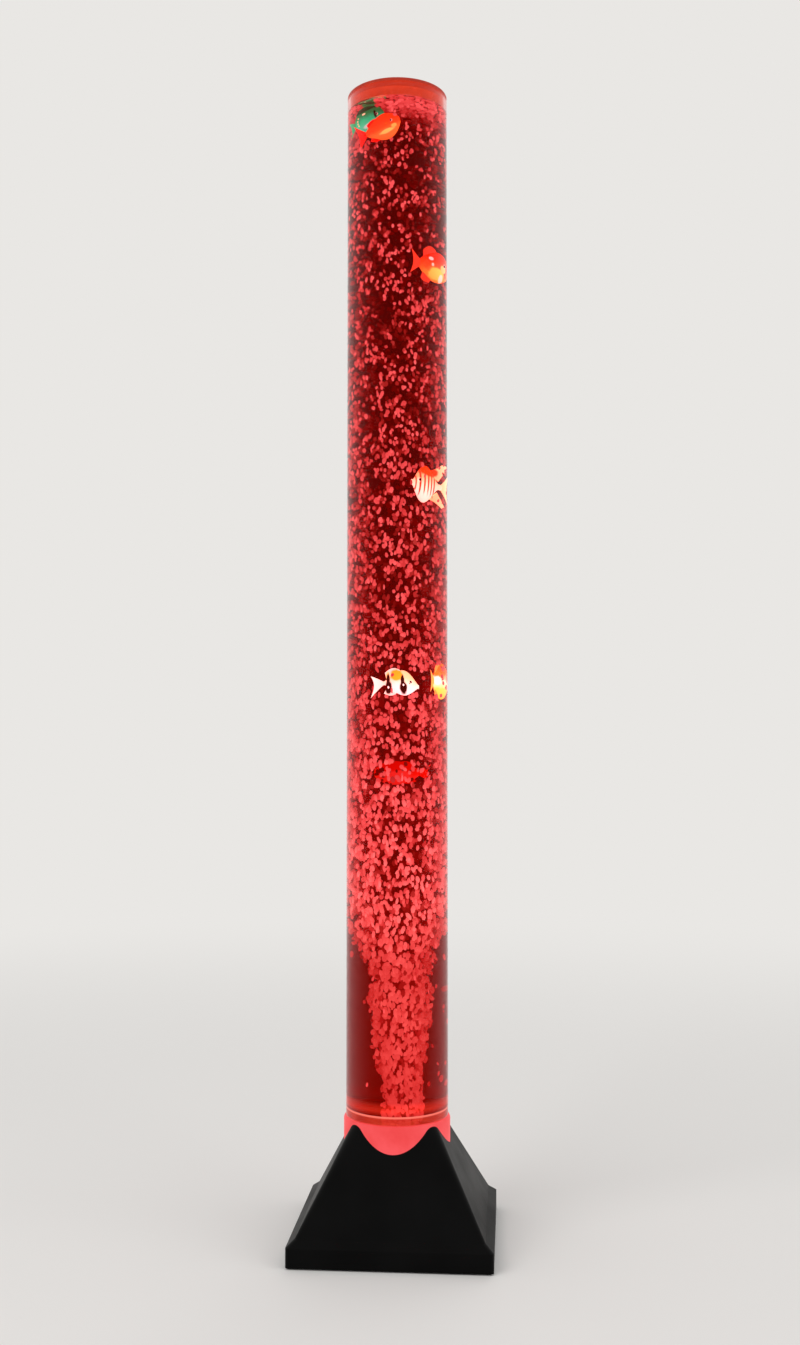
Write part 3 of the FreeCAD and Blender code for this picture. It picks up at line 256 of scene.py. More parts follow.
def litLid():
    # translucent acrylic lid, moulded, lit orange-red from the water below, with faint flow marks
    material, tree, place = startMaterial("litAcrylicLid")
    flow = noise(tree, place, 14, 4.0, 1.5)
    shader = add(tree, "BsdfPrincipled", {"Base Color": linear("#34100a"), "Roughness": 0.35,
                                          "Emission Strength": 0.7, "Specular IOR Level": 0.25},
                 {"Emission Color": ramp(tree, flow, [(0.3, "#b82c16"), (0.7, "#cc3a20")])})
    return endMaterial(material, shader)


# density is the absorption per metre, lasting the colour that still comes through, lit the glow up the
# height (0 at litFrom, 1 at litTo), strength its level, sheen the specular level; edge is the rim's chamfer,
# count the points round, rows those up the wall
litFrom, litTo = 70 * mm, 1200 * mm
tube = {"outer": 53 * mm, "inner": 50 * mm, "bottom": 74 * mm, "top": 1197 * mm, "edge": 0.3 * mm,
        "count": 192, "rows": 24, "smoothDegrees": 30,
        "density": 70.0, "lasting": "#cc0808", "sheen": 0.05, "waveMm": 30, "strength": 0.5,
        "lit": [(0.0, "#4a0200"), (0.0615, "#4a0200"), (0.0625, "#b42414"), (0.0645, "#4a0200"),
                (0.0665, "#a41c10"), (0.0685, "#4a0200"), (0.6, "#2c0100"), (0.975, "#2c0100"),
                (0.985, "#5a0c06"), (1.0, "#8c2214")]}
# the water reaches a little into the tube's wall, so that no film of air shows between them; below is how
# far its middle lies under the level
water = {"radius": 50.12 * mm, "bottom": 72.1 * mm, "level": 1182 * mm, "below": 1.0 * mm,
         "meniscus": 1.4 * mm, "meniscusReach": 2.2 * mm, "ripple": 0.45 * mm, "calmReach": 8 * mm,
         "floorRows": 4, "wallRows": 30, "topRows": 40, "smoothDegrees": 50,
         "density": 62.0, "lasting": "#ca0505", "sheen": 0.05, "strength": 0.4,
         "lit": [(0.0, "#720800"), (0.25, "#600600"), (0.5, "#3c0300"), (1.0, "#240200")]}


def litClear(name, ior, s, waveMm=None):
    # a clear body that holds the lamp's red light: what is seen through it darkens to maroon, and it glows
    # faintly: glow = stops((height - litFrom) / (litTo - litFrom))
    material, tree, place = startMaterial(name)
    height = add(tree, "SeparateXYZ", {}, {"Vector": place}).outputs["Z"]
    links = {"Emission Color": ramp(tree, fade(tree, height, litFrom, litTo), s["lit"])}
    if waveMm:
        links["Normal"] = add(tree, "Bump", {"Strength": 0.02, "Distance": 0.3 * mm},
                              {"Height": noise(tree, place, waveMm, 1.0)})
    shader = add(tree, "BsdfPrincipled",
                 {"Base Color": (1, 1, 1, 1), "Roughness": 0.0, "IOR": ior, "Transmission Weight": 1.0,
                  "Specular IOR Level": s["sheen"], "Specular Tint": (0, 0, 0, 1),
                  "Emission Strength": s["strength"]}, links)
    inside = add(tree, "VolumeAbsorption", {"Color": linear(s["lasting"]), "Density": s["density"]})
    return endMaterial(material, shader, inside, True)


def clearAcrylic():
    # cast acrylic tube, polished: clear with a faint waviness; the light carried up its wall shows at the
    # top, and in two thin rings just above the cup
    return litClear("castAcrylic", 1.49, tube, tube["waveMm"])


def lampWater():
    # water under red light: clear, but deep maroon through its thickness, brighter towards the lamp
    return litClear("water", 1.333, water)


def sprayFilm():
    # wet wall above the water: a film of spray that scatters the lamp's light, orange-red, with runs in it
    material, tree, place = startMaterial("sprayFilm")
    runs = noise(tree, add(tree, "Mapping", {"Scale": (1, 1, 0.6)}, {"Vector": place}), 7, 5.0, 1.2)
    shader = add(tree, "BsdfPrincipled", {"Base Color": linear("#3c0c08"), "Roughness": 0.4,
                                          "Emission Strength": 0.95, "Specular IOR Level": 0.1},
                 {"Emission Color": ramp(tree, runs, [(0.3, "#c43a20"), (0.7, "#d8442a")]),
                  "Alpha": fade(tree, runs, 0.3, 0.7, 0.8, 0.94)})
    return endMaterial(material, shader, None, True)


def airBubble():
    # air bubble lit from below: flat pink-red, deeper red where it is faint; glow is each bubble's own level
    material, tree = startMaterial("airBubble")[:2]
    level = add(tree, "Attribute", {"attribute_name": "glow"}).outputs["Fac"]
    colour = ramp(tree, level, [(0.0, "#3f0a0a"), (0.5, "#942a28"), (0.75, "#cb4c4e"), (1.0, "#f68884")])
    shader = add(tree, "BsdfPrincipled", {"Base Color": linear("#3c0a0a"), "Roughness": 0.5,
                                          "Specular IOR Level": 0.0, "Emission Strength": 2.0},
                 {"Emission Color": colour})
    return endMaterial(material, shader, None, True)


def makePiece(name, verts, faces, material, body, smoothDegrees=None, values=None):
    # a mesh object at the origin, its points in metres; edges sharper than smoothDegrees stay sharp, values
    # are point attributes by name; the floor and a piece that sits between two bodies have no body here
    mesh = bpy.data.meshes.new(name)
    mesh.from_pydata(verts.tolist(), [], faces.tolist() if isinstance(faces, np.ndarray) else faces)
    mesh.polygons.foreach_set("use_smooth", np.ones(len(mesh.polygons), dtype=bool))
    if smoothDegrees:
        mesh.set_sharp_from_angle(angle=math.radians(smoothDegrees))
    for key, numbers in (values or {}).items():
        mesh.attributes.new(key, "FLOAT", "POINT").data.foreach_set("value", numbers.astype(np.float32))
    mesh.materials.append(material)
    piece = bpy.data.objects.new(name, mesh)
    bpy.context.scene.collection.objects.link(piece)
    if body:
        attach(piece, body)
    return piece


def polar(radius, angle, height):
    # points about the axis: (radius cos a, radius sin a, height)
    return np.stack(np.broadcast_arrays(radius * np.cos(angle), radius * np.sin(angle), height), -1)


def turned(profile, count):
    # surface of revolution: one ring for each (radius, height) of the profile
    return polar(profile[:, :1], np.linspace(0, 2 * np.pi, count, endpoint=False), profile[:, 1:])


def stitch(rows, count, capStart, capEnd, loop=False):
    # quads between neighbouring rings, and a fan of triangles to a pole at each capped end
    faces = []
    last = rows if loop else rows - 1
    around = np.arange(count)
    after = (around + 1) % count
    for row in range(last):
        here, there = row * count, ((row + 1) % rows) * count
        faces += np.stack([here + around, here + after, there + after, there + around], -1).tolist()
    pole = rows * count
    if capStart:
        faces += np.stack([np.full(count, pole), after, around], -1).tolist()
        pole += 1
    if capEnd:
        top = (rows - 1) * count
        faces += np.stack([np.full(count, pole), top + around, top + after], -1).tolist()
    return faces


def makeTube():
    # outer wall up, polished rim across, inner wall down, rim across: a closed loop turned about Z
    s = tube
    levels = np.linspace(s["bottom"] + s["edge"], s["top"] - s["edge"], s["rows"])
    outer = np.stack([np.full(s["rows"], s["outer"]), levels], -1)
    inner = np.stack([np.full(s["rows"], s["inner"]), levels[::-1]], -1)
    topRim = np.array([[s["outer"] - s["edge"], s["top"]], [s["inner"] + s["edge"], s["top"]]])
    lowRim = np.array([[s["inner"] + s["edge"], s["bottom"]], [s["outer"] - s["edge"], s["bottom"]]])
    profile = np.concatenate([outer, topRim, inner, lowRim])
    verts = turned(profile, s["count"]).reshape(-1, 3)
    faces = stitch(len(profile), s["count"], False, False, True)
    piece = makePiece("clear_tube", verts, faces, clearAcrylic(), "root", s["smoothDegrees"])
    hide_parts("water_tube")


def surfaceHeight(x, y):
    # level - below + meniscus * e ^ (-way to the wall / reach) + three crossing ripples that calm at the
    # wall
    s = water
    radius = np.hypot(x, y)
    rise = s["meniscus"] * np.exp((radius - s["radius"]) / s["meniscusReach"])
    ripple = np.sin(x * 210 + 1.0) * np.cos(y * 260 - 0.4) + 0.6 * np.sin((x + y) * 420)
    ripple += 0.4 * np.sin(radius * 600)
    calm = np.clip((s["radius"] - radius) / s["calmReach"], 0, 1)
    return s["level"] - s["below"] + rise + s["ripple"] * ripple * calm


def makeWater():
    # a column: flat floor, straight wall, and the rippled surface with its meniscus on top
    s = water
    count = tube["count"]
    floor = np.stack([np.linspace(0.25, 1, s["floorRows"]) * s["radius"],
                      np.full(s["floorRows"], s["bottom"])], -1)
    wall = np.stack([np.full(s["wallRows"], s["radius"]),
                     np.linspace(s["bottom"] + 2 * mm, s["level"] - s["below"], s["wallRows"])], -1)
    surface = np.stack([s["radius"] * np.sin(np.linspace(np.pi / 2, 0.02, s["topRows"])),
                        np.full(s["topRows"], s["level"])], -1)
    profile = np.concatenate([floor, wall, surface])
    rings = turned(profile, count)
    top = rings[-s["topRows"]:]
    top[..., 2] = surfaceHeight(top[..., 0], top[..., 1])
    poles = np.array([[0, 0, s["bottom"]], [0, 0, surfaceHeight(np.zeros(1), np.zeros(1))[0]]])
    verts = np.concatenate([rings.reshape(-1, 3), poles])
    piece = makePiece("water", verts, stitch(len(profile), count, True, True), lampWater(), "root",
                      s["smoothDegrees"])


spray = {"inner": 49.55 * mm, "outer": 49.95 * mm, "low": 1182.6 * mm, "high": 1191.8 * mm}


def makeSprayFilm():
    # a thin sleeve on the tube's inner wall between the water and the lid's plug: four corners, turned
    s = spray
    profile = np.array([[s["outer"], s["low"]], [s["outer"], s["high"]], [s["inner"], s["high"]],
                        [s["inner"], s["low"]]])
    rings = turned(profile, tube["count"])
    piece = makePiece("spray_film", rings.reshape(-1, 3), stitch(4, tube["count"], False, False, True),
                      sprayFilm(), "root", tube["smoothDegrees"])


# rubber bellows of the air pump, in mm
bellows = {"flangeRadius": 10.5, "flange": 1.2, "wall": 1.4, "topRadius": 5.8, "fold": 0.45, "folds": 2,
           "poleRadius": 2.0, "count": 64, "rows": 25, "smoothDegrees": 40, "bendEnds": 0.4}


def makeBellows():
    # a turned rubber shell: a flat flange, a wall that leans in and is waved by its folds, closed across the
    # top: radius = line from waist to top + fold * sin(turns of the wave); it sits under the arm, tied to no
    # body
    s = bellows
    low, high = (np.array(corner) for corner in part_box("pump_diaphragm"))
    middle, height = (low + high) / 2, (high[2] - low[2]) / mm
    share = np.linspace(0, 1, s["rows"])
    wave = s["fold"] * np.sin(2 * np.pi * s["folds"] * share) * np.sin(np.pi * share) ** 0.5
    waist = s["flangeRadius"] - s["wall"] / 2
    outerRadius = waist + (s["topRadius"] - waist) * share + wave
    outer = np.stack([outerRadius, s["flange"] + (height - s["flange"]) * share], -1)
    inner = np.stack([outerRadius - s["wall"], (height - s["wall"]) * share], -1)[::-1]
    profile = np.concatenate([[[s["poleRadius"], height - s["wall"]]], inner,
                              [[s["flangeRadius"], 0], [s["flangeRadius"], s["flange"]]], outer[1:],
                              [[s["poleRadius"], height]]])
    rings = turned(profile, s["count"]).reshape(-1, 3)
    poles = [[0, 0, height - s["wall"]], [0, 0, height]]
    verts = np.concatenate([rings, poles]) * mm + [middle[0], middle[1], low[2]]
    piece = makePiece("pump_bellows", verts, stitch(len(profile), s["count"], True, True),
                      opaqueFinish("bellowsRubber"), None, s["smoothDegrees"])
    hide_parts("pump_diaphragm")
    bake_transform(piece)


# each fish, in mm and degrees: size is length, height and thickness; middle is where it is; turn is about
# the vertical and tilt lifts its nose; gain is how strongly it shines in the lamp's light, a painted glow;
# shown is the share of bubbles cleared from in front of it; point sharpens its ends; arch hangs nose and tail
# lower; girth and tail are times the plain size; sweep leans the fins back, as a share of its length; tones
# are those of back, sides, belly and fins. Marks are soft-edged ovals of paint, a few of them painted
# highlights: place along (0 tail, 1 nose), place up (-1 belly, 1 back), half width, half height, colour
plainFish = {"girth": 1.0, "tail": 1.0, "sweep": 0.0, "arch": 0, "tilt": 0}
fishKinds = {
    "fish_teal": {
        "size": (38, 29, 9), "middle": (-27.2, -20.0, 1166.4), "turn": -17, "tilt": 14, "gain": 2.7,
        "shown": 0.97, "point": 0.62, "arch": 3, "girth": 1.42,
        "tones": ("#0c7a44", "#14c088", "#3cd0a4", "#0e9a62"),
        # the pale cyan oval low on the middle (#9ce8d8) and the pale yellow one low by the head (#f4f8b8) are
        # painted highlights
        "marks": [(0.5, 1.0, 0.4, 0.26, "#053c22"), (0.58, -0.74, 0.15, 0.24, "#9ce8d8"),
                  (0.86, -0.4, 0.08, 0.24, "#f4f8b8"), (0.8, 0.22, 0.035, 0.42, "#020a06"),
                  (0.52, 0.55, 0.05, 0.09, "#f4e4c0"), (0.34, 0.42, 0.02, 0.07, "#f0dca0"),
                  (0.31, 0.18, 0.02, 0.07, "#f0dca0"), (0.3, -0.06, 0.02, 0.07, "#f0dca0"),
                  (0.31, -0.3, 0.02, 0.07, "#f0dca0")]},
    "fish_orange": {
        "size": (47, 27, 9.5), "middle": (-15.5, -33.0, 1151), "turn": -15.5, "tilt": 17, "gain": 1.7,
        "shown": 0.97, "point": 1.0, "arch": -2, "girth": 1.4, "tail": 1.8,
        "tones": ("#f84016", "#fa5020", "#ff7c38", "#f81808"),
        # the two yellow ovals along the belly (#ffc868, #ffb858) are painted highlights
        "marks": [(0.68, -0.66, 0.17, 0.22, "#ffc868"), (0.86, -0.4, 0.06, 0.2, "#ffb858"),
                  (0.82, 0.32, 0.022, 0.09, "#a81408"), (0.72, 0.1, 0.026, 0.1, "#7c5c14")]},
    "fish_red": {
        "size": (42, 44, 12), "middle": (28.0, -5.0, 1014), "turn": 47, "tilt": -4, "gain": 4.2,
        "shown": 0.93, "point": 0.75,
        "tones": ("#d83410", "#e4602c", "#f8a040", "#d85038"),
        "marks": [(0.62, -0.5, 0.2, 0.42, "#ffe060"), (0.8, -0.05, 0.1, 0.28, "#ffd080"),
                  (0.74, -0.72, 0.06, 0.3, "#fffbe0"), (0.46, 0.42, 0.055, 0.12, "#fffaf0"),
                  (0.5, 0.05, 0.03, 0.11, "#ffe8d0")]},
    "fish_striped": {
        "size": (44, 42, 12), "middle": (29.5, -7.0, 780), "turn": 226, "tilt": 4, "gain": 5.0,
        "shown": 0.85, "point": 2.3, "girth": 1.25, "tail": 1.3, "sweep": 0.2,
        "tones": ("#ffc088", "#fff8d8", "#fffce8", "#ffd8a0"),
        "marks": [(0.9, 0.0, 0.014, 0.9, "#e8604c"), (0.82, 0.1, 0.02, 0.9, "#d84830"),
                  (0.73, 0.1, 0.02, 0.9, "#d84830"), (0.64, 0.2, 0.022, 1.0, "#d84830"),
                  (0.55, 0.1, 0.022, 1.0, "#d84830"), (0.46, 0.1, 0.022, 1.0, "#d84830"),
                  (0.6, 0.92, 0.26, 0.4, "#e04818")]},
    "fish_banded": {
        "size": (45, 31, 11), "middle": (0.2, -30.0, 573), "turn": 4.6, "gain": 3.4, "shown": 0.97,
        "point": 1.7, "arch": 5, "girth": 1.12, "tail": 1.2,
        "tones": ("#ffe0a8", "#fff8ec", "#ffffff", "#fff4ea"),
        "marks": [(0.53, 0.66, 0.13, 0.52, "#ffb42c"), (0.36, 0.62, 0.045, 0.4, "#ffe8a0"),
                  (0.37, -0.42, 0.075, 0.62, "#080202"), (0.365, 0.25, 0.036, 0.62, "#080202"),
                  (0.68, -0.4, 0.08, 0.6, "#080202"), (0.66, 0.2, 0.04, 0.55, "#080202"),
                  (0.37, -0.42, 0.018, 0.12, "#ffffff"), (0.68, -0.18, 0.018, 0.1, "#ffffff"),
                  (0.81, 0.05, 0.012, 0.06, "#201008")]},
    "fish_amber": {
        "size": (40, 39, 11), "middle": (35.5, -4.0, 575), "turn": 84, "gain": 4.8, "shown": 0.95,
        "point": 0.9, "girth": 1.3,
        "tones": ("#f87818", "#fff4d0", "#ffd850", "#ff9a48"),
        "marks": [(0.34, 0.05, 0.12, 0.34, "#fffdf0"), (0.62, 0.8, 0.2, 0.3, "#f06010")]},
    "fish_scarlet": {
        "size": (42, 26, 11), "middle": (3.0, 22.0, 479), "turn": 165, "gain": 5.0, "shown": 0.55,
        "point": 0.75, "girth": 1.3, "tail": 1.2,
        "tones": ("#e82c14", "#f84830", "#ff7c6c", "#e83018"),
        "marks": [(0.55, -0.2, 0.2, 0.5, "#ff8c80")]},
}
fishList = {name: {**plainFish, **kind} for name, kind in fishKinds.items()}


def fishPaint(name, s):
    # glossy enamel on a moulded body, glowing with painted lamp light: back, side and belly tones, marks laid
    # over them with wandering edges (a few are painted highlights), rayed fins and round eyes; level = (up +
    # drift + 1) / 2, where drift is a noise from -0.25 to 0.25
    material, tree, place = startMaterial(name.replace("fish_", "enamel_"))
    along, up, fin, eye, ray = (add(tree, "Attribute", {"attribute_name": key}).outputs["Fac"]
                                for key in ("along", "up", "fin", "eye", "ray"))
    drift = add(tree, "Math", {"operation": "MULTIPLY_ADD", 1: 0.5, 2: -0.25},
                {0: noise(tree, place, 5, 4.0)})
    level = fade(tree, add(tree, "Math", {"operation": "ADD"}, {0: up, 1: drift}), -1.0, 1.0)
    back, side, belly, finTone = s["tones"]
    colour = mixColour(tree, fin, ramp(tree, level, [(0.22, belly), (0.45, side), (0.74, back)]), finTone)
    spot = add(tree, "CombineXYZ", {}, {"X": along, "Y": up})
    for whereAlong, whereUp, halfAlong, halfUp, tone in s["marks"]:
        # inside the oval where length((place - middle) / half sizes) + drift is below 1
        scaled = add(tree, "Mapping", {"Location": (-whereAlong / halfAlong, -whereUp / halfUp, 0),
                                       "Scale": (1 / halfAlong, 1 / halfUp, 1)}, {"Vector": spot})
        away = add(tree, "VectorMath", {"operation": "LENGTH"}, {0: scaled}).outputs["Value"]
        away = add(tree, "Math", {"operation": "ADD"}, {0: away, 1: drift})
        colour = mixColour(tree, fade(tree, away, 0.8, 1.1, 1.0, 0.0), colour, tone)
    eyeTone = ramp(tree, eye, [(0.0, "#f4e8d8"), (0.62, "#f4e8d8"), (0.66, "#0a0606")])
    isEye = add(tree, "Math", {"operation": "GREATER_THAN", 1: 0.01}, {0: eye})
    colour = mixColour(tree, isEye, colour, eyeTone)
    bump = add(tree, "Bump", {"Strength": 0.5, "Distance": 0.4 * mm}, {"Height": ray})
    shader = add(tree, "BsdfPrincipled", {"Roughness": 0.25, "Emission Strength": s["gain"]},
                 {"Base Color": colour, "Emission Color": colour, "Normal": bump})
    return endMaterial(material, shader, None, True)


# a fish's plain build, as shares of its length or height: where the tail begins, half the body's height, its
# thinnest, and the eye's size and place; the rest are mm and numbers of rows
fishBuild = {"tailRoot": 0.27, "halfHeight": 0.37, "thinnest": 0.15, "eyeSize": 0.05, "eyeAlong": 0.33,
             "eyeUp": 0.08, "rows": 44, "count": 40, "finRows": 18, "finCols": 10, "finThickness": 2.0,
             "eyeRows": 7, "eyeCount": 16, "eyeSunk": 0.25}


def pillow(corner, across):
    # a thin closed fin: a grid between a root line and an outer line, sharp at its rim, swollen to each side
    # by thickness / 2 * sqrt(sin(pi u)) * sin(pi (0.12 + 0.88 v)); across is the number of its rays
    rows, cols, thickness = fishBuild["finRows"], fishBuild["finCols"], fishBuild["finThickness"]
    u = np.linspace(0, 1, rows)[:, None, None]
    v = np.linspace(0, 1, cols)[None, :, None]
    sheet = corner(u, v)
    swell = np.clip(np.sin(np.pi * u[..., 0]), 0, 1) ** 0.5
    swell = swell * np.clip(np.sin(np.pi * (0.12 + 0.88 * v[..., 0])), 0, 1)
    swell[:, -1] = 0
    swell[0] = swell[-1] = 0
    swell[:, 0] = 0
    near = np.insert(sheet, 1, swell * thickness / 2, axis=-1)
    far = np.insert(sheet, 1, -swell * thickness / 2, axis=-1)
    index = np.arange(rows * cols).reshape(rows, cols)
    back = index + rows * cols
    rim = np.zeros((rows, cols), dtype=bool)
    rim[0] = rim[-1] = True
    rim[:, 0] = rim[:, -1] = True
    back[rim] = index[rim]
    # each cell is split along the diagonal towards the fin's middle, so no triangle lies in the rim alone
    inward = (np.arange(rows - 1)[:, None] < rows / 2) == (np.arange(cols - 1)[None] < cols / 2)

    def split(grid):
        a, b, c, d = grid[:-1, :-1], grid[:-1, 1:], grid[1:, 1:], grid[1:, :-1]
        one = np.where(inward[..., None], np.stack([a, b, c], -1), np.stack([a, b, d], -1))
        two = np.where(inward[..., None], np.stack([a, c, d], -1), np.stack([b, c, d], -1))
        return np.concatenate([one.reshape(-1, 3), two.reshape(-1, 3)])

    front, rear = split(index), split(back)[:, ::-1]
    rays = np.broadcast_to(0.5 + 0.5 * np.sin(u[..., 0] * across * 2 * np.pi), (rows, cols))
    verts = np.concatenate([near.reshape(-1, 3), far.reshape(-1, 3)])
    return verts, np.concatenate([front, rear]), np.tile(rays.reshape(-1), 2)


def fishShape(s):
    # body: ovals on a nose-to-tail axis, half height = half * sin(pi (0.03 + 0.91 t) ^ 0.8) ^ point, so that
    # they swell behind the nose and thin to the tail's root
    build = fishBuild
    length, height, thickness = s["size"]
    nose, root, half = length * 0.5, -length * build["tailRoot"], height * build["halfHeight"] * s["girth"]
    rows, count = build["rows"], build["count"]
    along = np.linspace(0.004, 1, rows)
    swell = np.sin(np.pi * (0.03 + 0.91 * along) ** 0.8) ** s["point"]
    tall = half * np.maximum(swell, build["thinnest"])
    wide = np.minimum(thickness / 2 * np.maximum(swell, 0.14), tall * 0.96)
    angle = np.linspace(0, 2 * np.pi, count, endpoint=False)
    x = nose + (root - nose) * along
    y = wide[:, None] * np.cos(angle)
    z = tall[:, None] * np.sin(angle)
    body = np.stack([np.repeat(x[:, None], count, 1), y, z], -1).reshape(-1, 3)
    body = np.concatenate([body, [[nose, 0, 0], [root, 0, 0]]])
    # rows run towards the tail, so the faces are turned round to point outwards
    skin = [face[::-1] for face in stitch(rows, count, True, True)]
    parts = [(body, skin, np.zeros(len(body)), np.zeros(len(body)), np.zeros(len(body)))]

    def between(low, high, lowOut, highOut, bow):
        # points from a root line low-high to an outer line lowOut-highOut, the outer line bowed
        def corner(u, v):
            inner = np.array(low) * (1 - u) + np.array(high) * u
            outer = np.array(lowOut) * (1 - u) + np.array(highOut) * u + np.sin(np.pi * u) * np.array(bow)
            return inner * (1 - v) + outer * v
        return corner

    # tail, back and belly fin: both ends of the root line, both ends of the outer line, and its bow
    back = length * s["sweep"]
    fins = [
        between((root + 2, -height * 0.05), (root + 2, height * 0.05),
                (-length * 0.5, -height * 0.3 * s["tail"]), (-length * 0.5, height * 0.3 * s["tail"]),
                (length * 0.07, 0)),
        between((-length * 0.17, half * 0.3), (length * 0.18, half * 0.72),
                (-length * 0.2 - back, height * 0.34 + back), (length * 0.1 - back, height * 0.42),
                (0, height * 0.09)),
        between((length * 0.06, -half * 0.75), (-length * 0.15, -half * 0.3), (-back, -height * 0.42),
                (-length * 0.22 - back, -height * 0.34 - back), (0, -height * 0.05)),
    ]
    for corner, raysAcross in zip(fins, (9, 11, 7)):
        verts, faces, rays = pillow(corner, raysAcross)
        parts.append((verts, faces.tolist(), np.ones(len(verts)), np.zeros(len(verts)), rays))

    # domed eyes on both cheeks; the eye value runs from the rim to the pupil at the top
    eyeSize, sunk = height * build["eyeSize"], build["eyeSunk"]
    domeRows, domeCount = build["eyeRows"], build["eyeCount"]
    lift = np.linspace(0, np.pi / 2 * 0.97, domeRows)
    turn = np.linspace(0, 2 * np.pi, domeCount, endpoint=False)
    for side in (1, -1):
        place = np.array([length * build["eyeAlong"], 0, height * build["eyeUp"]])
        where = (nose - place[0]) / (nose - root)
        aside = place[2] / np.interp(where, along, tall)
        cheek = np.interp(where, along, wide) * math.sqrt(1 - aside ** 2)
        bulge = side * (cheek - sunk + eyeSize * 0.5 * np.sin(lift))
        dome = np.stack([place[0] + eyeSize * np.cos(lift)[:, None] * np.cos(turn),
                         np.repeat(bulge[:, None], domeCount, 1),
                         place[2] + eyeSize * np.cos(lift)[:, None] * np.sin(turn)], -1).reshape(-1, 3)
        poles = [[place[0], side * (cheek - 0.6), place[2]],
                 [place[0], side * (cheek - sunk + eyeSize * 0.5), place[2]]]
        dome = np.concatenate([dome, poles])
        faces = stitch(domeRows, domeCount, True, True)
        if side == 1:
            faces = [face[::-1] for face in faces]
        tone = np.concatenate([np.repeat(0.1 + 0.9 * np.sin(lift), domeCount), [0.1, 1.0]])
        parts.append((dome, faces, np.zeros(len(dome)), tone, np.zeros(len(dome))))
    return parts


def makeFish(name, s):
    # the parts joined, arched, tilted and turned, then moved to the fish's middle
    length, height = s["size"][:2]
    parts = fishShape(s)
    local, fin, eye, ray = (np.concatenate([part[k] for part in parts]) for k in (0, 2, 3, 4))
    faces, start = [], 0
    for part in parts:
        faces += [[corner + start for corner in face] for face in part[1]]
        start += len(part[0])
    values = {"along": local[:, 0] / length + 0.5, "up": local[:, 2] / (height * fishBuild["halfHeight"]),
              "fin": fin, "eye": eye, "ray": ray}
    # nose and tail hang lower than the middle: z - arch * (2 x / length) ^ 2
    local[:, 2] -= s["arch"] * (2 * local[:, 0] / length) ** 2
    tilt, turn = math.radians(s["tilt"]), math.radians(s["turn"])
    x = local[:, 0] * math.cos(tilt) - local[:, 2] * math.sin(tilt)
    z = local[:, 0] * math.sin(tilt) + local[:, 2] * math.cos(tilt)
    placed = np.stack([x * math.cos(turn) - local[:, 1] * math.sin(turn),
                       x * math.sin(turn) + local[:, 1] * math.cos(turn), z], -1) + np.array(s["middle"])
    pieceName = name.replace("fish_", "painted_")
    piece = makePiece(pieceName, placed * mm, faces, fishPaint(name, s), name, None, values)
    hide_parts(name)


# along the height, in mm: bubbles per mm, radius that they fill, how far they keep to its outside (0.5 =
# even, less = more outside), width, height, glow, and how far the plume leans to the right
bubbleTable = np.array([
    [96, 15.0, 16.5, 0.40, 3.4, 5.4, 1.0, 2.6],
    [140, 15.0, 17.0, 0.40, 3.3, 5.4, 1.0, 3.6],
    [170, 14.0, 18.5, 0.36, 3.3, 5.6, 0.99, 3.6],
    [216, 15.0, 25.0, 0.33, 3.3, 5.8, 0.97, 2.6],
    [250, 15.0, 26.0, 0.31, 3.4, 5.8, 0.95, 1.8],
    [270, 15.0, 25.5, 0.30, 3.5, 5.8, 0.93, 1.4],
    [292, 15.0, 30.0, 0.28, 3.5, 5.7, 0.90, 1.0],
    [325, 17.0, 43.0, 0.27, 3.5, 5.5, 0.86, 0.0],
    [360, 20.0, 47.5, 0.27, 3.5, 5.4, 0.83, 0.0],
    [480, 18.0, 47.8, 0.28, 3.4, 5.0, 0.78, 0.0],
    [620, 14.0, 47.8, 0.30, 3.3, 4.7, 0.75, 0.0],
    [800, 10.5, 47.8, 0.33, 3.2, 4.4, 0.74, 0.0],
    [1000, 8.6, 47.8, 0.35, 3.1, 4.1, 0.74, 0.0],
    [1140, 8.6, 47.8, 0.35, 3.1, 3.9, 0.74, 0.0],
    [1172, 11.0, 47.8, 0.30, 3.6, 3.4, 0.72, 0.0],
])
# widths, depths, heights and glows: how far each varies, as times the table's; lean is how far a bubble
# tips; clusterShare of them hang beside another, clusterMm away; faintShare glow only by faint, and those
# inside the swarm by inner, which fades out over innerBand from innerFrom of the radius; below swarmFrom
# the plume is wavy and sways; edges are the heights that part the pieces
bubbleLook = {"widths": (0.7, 1.3), "depths": (0.85, 1.15), "heights": (0.65, 1.35), "glows": (0.92, 1.04),
              "lean": 0.14, "clusterShare": 0.6, "clusterMm": 3.4, "faintShare": 0.08, "faint": 0.6,
              "inner": 0.42, "innerFrom": 0.45, "innerBand": 0.25, "swarmFrom": 330, "wavy": 0.05,
              "wavyMm": 9, "swayMm": 1.5, "swayTurnMm": 17, "keepIn": 47.5,
              "edges": [96, 230, 350, 480, 640, 880, 1174], "seed": 7}
# room round a fish in mm, and its height as a share; nothing stands where the oval's level is below nearest
fishRoom = {"sides": 5, "front": 6, "height": 0.47, "nearest": 0.8}
# lone bubbles beside the plume, onRight of them within rightReach (radians) of the right
strays = {"count": 46, "low": 150, "high": 325, "near": 24, "far": 47, "width": 2.6, "height": 5.0,
          "glow": 0.74, "onRight": 0.65, "rightReach": 0.9, "smallest": 0.6, "spread": 0.8}
# a flat crowd of bubbles under the surface
foam = {"count": 620, "low": 1171, "high": 1180.6, "reach": 47.8, "width": 5.0, "height": 2.4, "glow": 0.71,
        "widths": (0.5, 1.5), "heights": (0.6, 1.4)}


